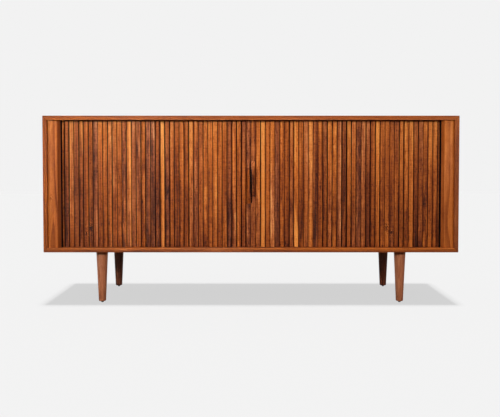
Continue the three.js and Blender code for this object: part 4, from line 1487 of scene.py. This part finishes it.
@dataclass
class Studio:
    """The pale floor and backdrop, the soft lights and the camera.

    Attributes:
        white: tint of the floor and the backdrop.
        shadow: share of the floor's light that the cabinet's shadow leaves.
        floor_albedo: what the floor sends back of the light that falls on it.
        floor_reach: how far the floor goes.
        ambient: strength of the light from all round.
        camera_place, camera_dip: where the camera stands, and how far it looks down.
        lens, sensor: its focal length and sensor width, in millimetres of its own.
        picture, shift: the picture's width, and how far its middle is shifted, in pixels.
    """

    white: str = "f2f2f2"
    shadow: float = 0.71
    floor_albedo: float = 0.07
    floor_reach: float = 9.0
    ambient: float = 0.28
    camera_place: tuple[float, float, float] = (0, -2.863, 0.630)
    camera_dip: float = math.radians(1.61)
    lens: float = 43.86
    sensor: float = 36
    picture: int = 500
    shift: tuple[float, float] = (-0.93, -31.2)

    def camera(self) -> None:
        """Makes the camera: 2.6 m in front, a little below the middle of the case's height."""
        lens = bpy.data.cameras.new("camera")
        lens.sensor_width = self.sensor
        lens.lens = self.lens
        lens.shift_x, lens.shift_y = (pixels / self.picture for pixels in self.shift)
        lens.clip_end = 60
        made = linked("camera", lens)
        made.location = self.camera_place
        made.rotation_euler = (math.pi / 2 - self.camera_dip, 0, 0)
        bpy.context.scene.camera = made

    def backdrop(self) -> None:
        """Makes the world: the plain white that the camera and reflections see, and a softer ambient light."""
        world = bpy.data.worlds.new("studio")
        bpy.context.scene.world = world
        tree = emptied(world)
        path = node(tree, "LightPath")
        seen = node(tree, "Math", {0: path["Is Camera Ray"], 1: path["Is Glossy Ray"]}, operation="MAXIMUM")[0]
        seen = node(tree, "Math", {0: seen, 1: path["Is Transmission Ray"]}, operation="MAXIMUM")[0]
        plain = node(tree, "Background", {0: linear(self.white), 1: 1.0})[0]
        up = node(tree, "SeparateXYZ", {0: node(tree, "TexCoord")["Generated"]})["Z"]
        height = node(tree, "MapRange", {0: up, 1: -0.3, 2: 1.0, 3: 0.5 * self.ambient, 4: 1.6 * self.ambient})[0]
        soft = node(tree, "Background", {0: linear("ffffff"), 1: height})[0]
        mixed = node(tree, "MixShader", {0: seen, 1: soft, 2: plain})[0]
        node(tree, "OutputWorld", {0: mixed})

    def floor(self) -> Piece:
        """Makes the floor: its own pale tint, on which the overhead light's shadow falls.

        Returns:
            The floor.
        """
        x, y = np.meshgrid([-self.floor_reach, self.floor_reach], [-self.floor_reach, self.floor_reach])
        mesh = bpy.data.meshes.new("floor")
        mesh.from_pydata(np.stack([x.ravel(), y.ravel(), np.zeros(4)], -1).tolist(), [], [(0, 1, 3, 2)])
        made = linked("floor", mesh)
        material = bpy.data.materials.new("floor_painted_pale")
        tree = emptied(material)
        path = node(tree, "LightPath")
        seen = node(tree, "Math", {0: path["Is Camera Ray"], 1: path["Is Glossy Ray"]}, operation="MAXIMUM")[0]
        level = node(tree, "Math", {0: seen, 1: linear(self.white)[0] * self.shadow}, operation="MULTIPLY")[0]
        glow = node(tree, "Emission", {0: linear("ffffff"), 1: level})[0]
        lit = node(tree, "BsdfDiffuse", {0: (*(self.floor_albedo,) * 3, 1.0)})[0]
        both = node(tree, "AddShader", {0: glow, 1: lit})[0]
        node(tree, "OutputMaterial", {0: both})
        mesh.materials.append(material)
        return made

    def lamp(self, name: str, kind: str, place: tuple, aim: tuple, energy: float, **settings) -> Piece:
        """Adds a lamp at a place, turned to what it is aimed at.

        Args:
            name: the lamp's name.
            kind: Blender's kind of lamp.
            place: where it stands.
            aim: the point that it is aimed at.
            energy: its strength.
            **settings: its other properties.

        Returns:
            The lamp.
        """
        light = bpy.data.lights.new(name, kind)
        light.energy = energy
        for setting, value in settings.items():
            setattr(light, setting, value)
        made = linked(name, light)
        made.location = place
        line = np.array(aim, float) - np.array(place, float)
        turn = math.atan2(line[0], -line[1])
        tilt = math.atan2(math.hypot(line[0], line[1]), -line[2])
        made.rotation_euler = (tilt, 0, turn + math.pi)
        return made

    def lights(self, floor: Piece) -> None:
        """Makes the lamps that fall on the cabinet alone, and the overhead one, which falls on the floor alone.

        The overhead one draws the plain shadow under the case.

        Args:
            floor: the floor.
        """
        soft_box = {"shape": "RECTANGLE", "size": 0.9, "size_y": 0.7, "spread": math.radians(42)}
        wide_box = {"shape": "RECTANGLE", "size": 2.6, "size_y": 1.0, "spread": math.radians(110)}
        key_left = self.lamp("key_left", "AREA", (-1.55, -4.5, 2.1), (-0.9, -0.2, 1.0), 7.2, **soft_box)
        key_right = self.lamp("key_right", "AREA", (-3.2, -4.0, 2.1), (0.35, -0.2, 1.0), 8.7, **soft_box)
        fill = self.lamp("fill", "AREA", (3.0, -4.0, 1.7), (0.3, -0.2, 1.0), 6.0, **soft_box)
        high = self.lamp("high", "AREA", (0, -0.4, 3.0), (0, -0.05, 0.8), 36, **wide_box)
        sheen = self.lamp("sheen", "AREA", (-1.9, -4.4, 1.1), (-0.45, -0.2, 0.6), 5.5, **soft_box)
        # The two high lamps on the left would glare on the top from behind. A low one gives their sheen
        key_left.visible_glossy = key_right.visible_glossy = sheen.visible_diffuse = False
        share = linear(self.white)[0] * (1 - self.shadow) / self.floor_albedo
        overhead = self.lamp("overhead", "SUN", (0, 0, 4), (0, 0, 0), math.pi * (share - self.ambient),
                             angle=math.radians(5.5))
        shut_out = bpy.data.collections.new("all_but_the_floor")
        shut_out.objects.link(floor)
        shut_out.collection_objects[0].light_linking.link_state = "EXCLUDE"
        only = bpy.data.collections.new("the_floor_alone")
        only.objects.link(floor)
        overhead.light_linking.receiver_collection = only
        for lamp in (key_left, key_right, fill, high, sheen):
            lamp.light_linking.receiver_collection = shut_out

    def build(self) -> None:
        """Builds the studio."""
        self.camera()
        self.backdrop()
        self.lights(self.floor())
        bpy.context.scene.view_settings.view_transform = "Standard"


def main() -> None:
    """Builds the cabinet and its studio, and reports each piece."""
    Studio().build()
    inside = Interior()
    Carcass().build(inside.wood)
    inside.build()
    finishes = {"wood": SLAT_WALNUT.material(), "canvas": CANVAS.material()}
    TambourDoor(
        Side.LEFT,
        # Slat 39 of the left door is HONEY, paler than its wood would be: painted light over the shade that the jamb
        # casts on it
        {SlatWood.HONEY: (3, 12, 16, 18, 23, 25, 28, 29, 34, 37, 39), SlatWood.ROSE: (24, 32, 36),
         SlatWood.EMBER: (2, 5, 7, 8, 13, 27, 31), SlatWood.RUSSET: (6, 9, 14, 22, 30),
         SlatWood.MAUVE: (1, 4, 20, 21, 38), SlatWood.UMBER: (10, 15, 17, 19, 26, 33, 35)},
        {33: (0.335, 1.7), 34: (0.31, 1.2), 12: (0.464, 0.5)},
        {18: Flame(1.49, -1.26), 25: Flame(0.95, 0.42), 35: Flame(0.86, 0.62)},
        (1, 2, 16, 19, 22, 35, 38), 11, **finishes).build()
    TambourDoor(
        Side.RIGHT,
        {SlatWood.SAPWOOD: (2,), SlatWood.HONEY: (1, 4, 8, 9, 12, 16, 20, 26), SlatWood.ROSE: (11, 18),
         SlatWood.EMBER: (27, 31, 33, 36, 37), SlatWood.RUSSET: (3, 6, 10, 14, 17, 25, 28, 32),
         SlatWood.MAUVE: (5, 13), SlatWood.UMBER: (7, 19, 22, 24, 29, 30, 34, 35, 39)},
        {28: (0.335, 1.6), 29: (0.315, 1.2)},
        {9: Flame(0.36, 0.56), 17: Flame(0.05, 0.37), 20: Flame(0.95, 0.60)},
        (8, 15, 19, 20, 24, 31), 23, fading=0.95, **finishes).build()
    Pulls().build(finishes["wood"])
    TurnedLegs().build(inside.steel)
    ply = SPLINE_PLY.material()
    for end in ("top", "bottom"):
        for side in Side:
            dress(f"{end}_{side.word}_spline", ply)


if __name__ == "__main__":
    logging.basicConfig(level=logging.INFO, format="%(message)s")
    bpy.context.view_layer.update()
    main()
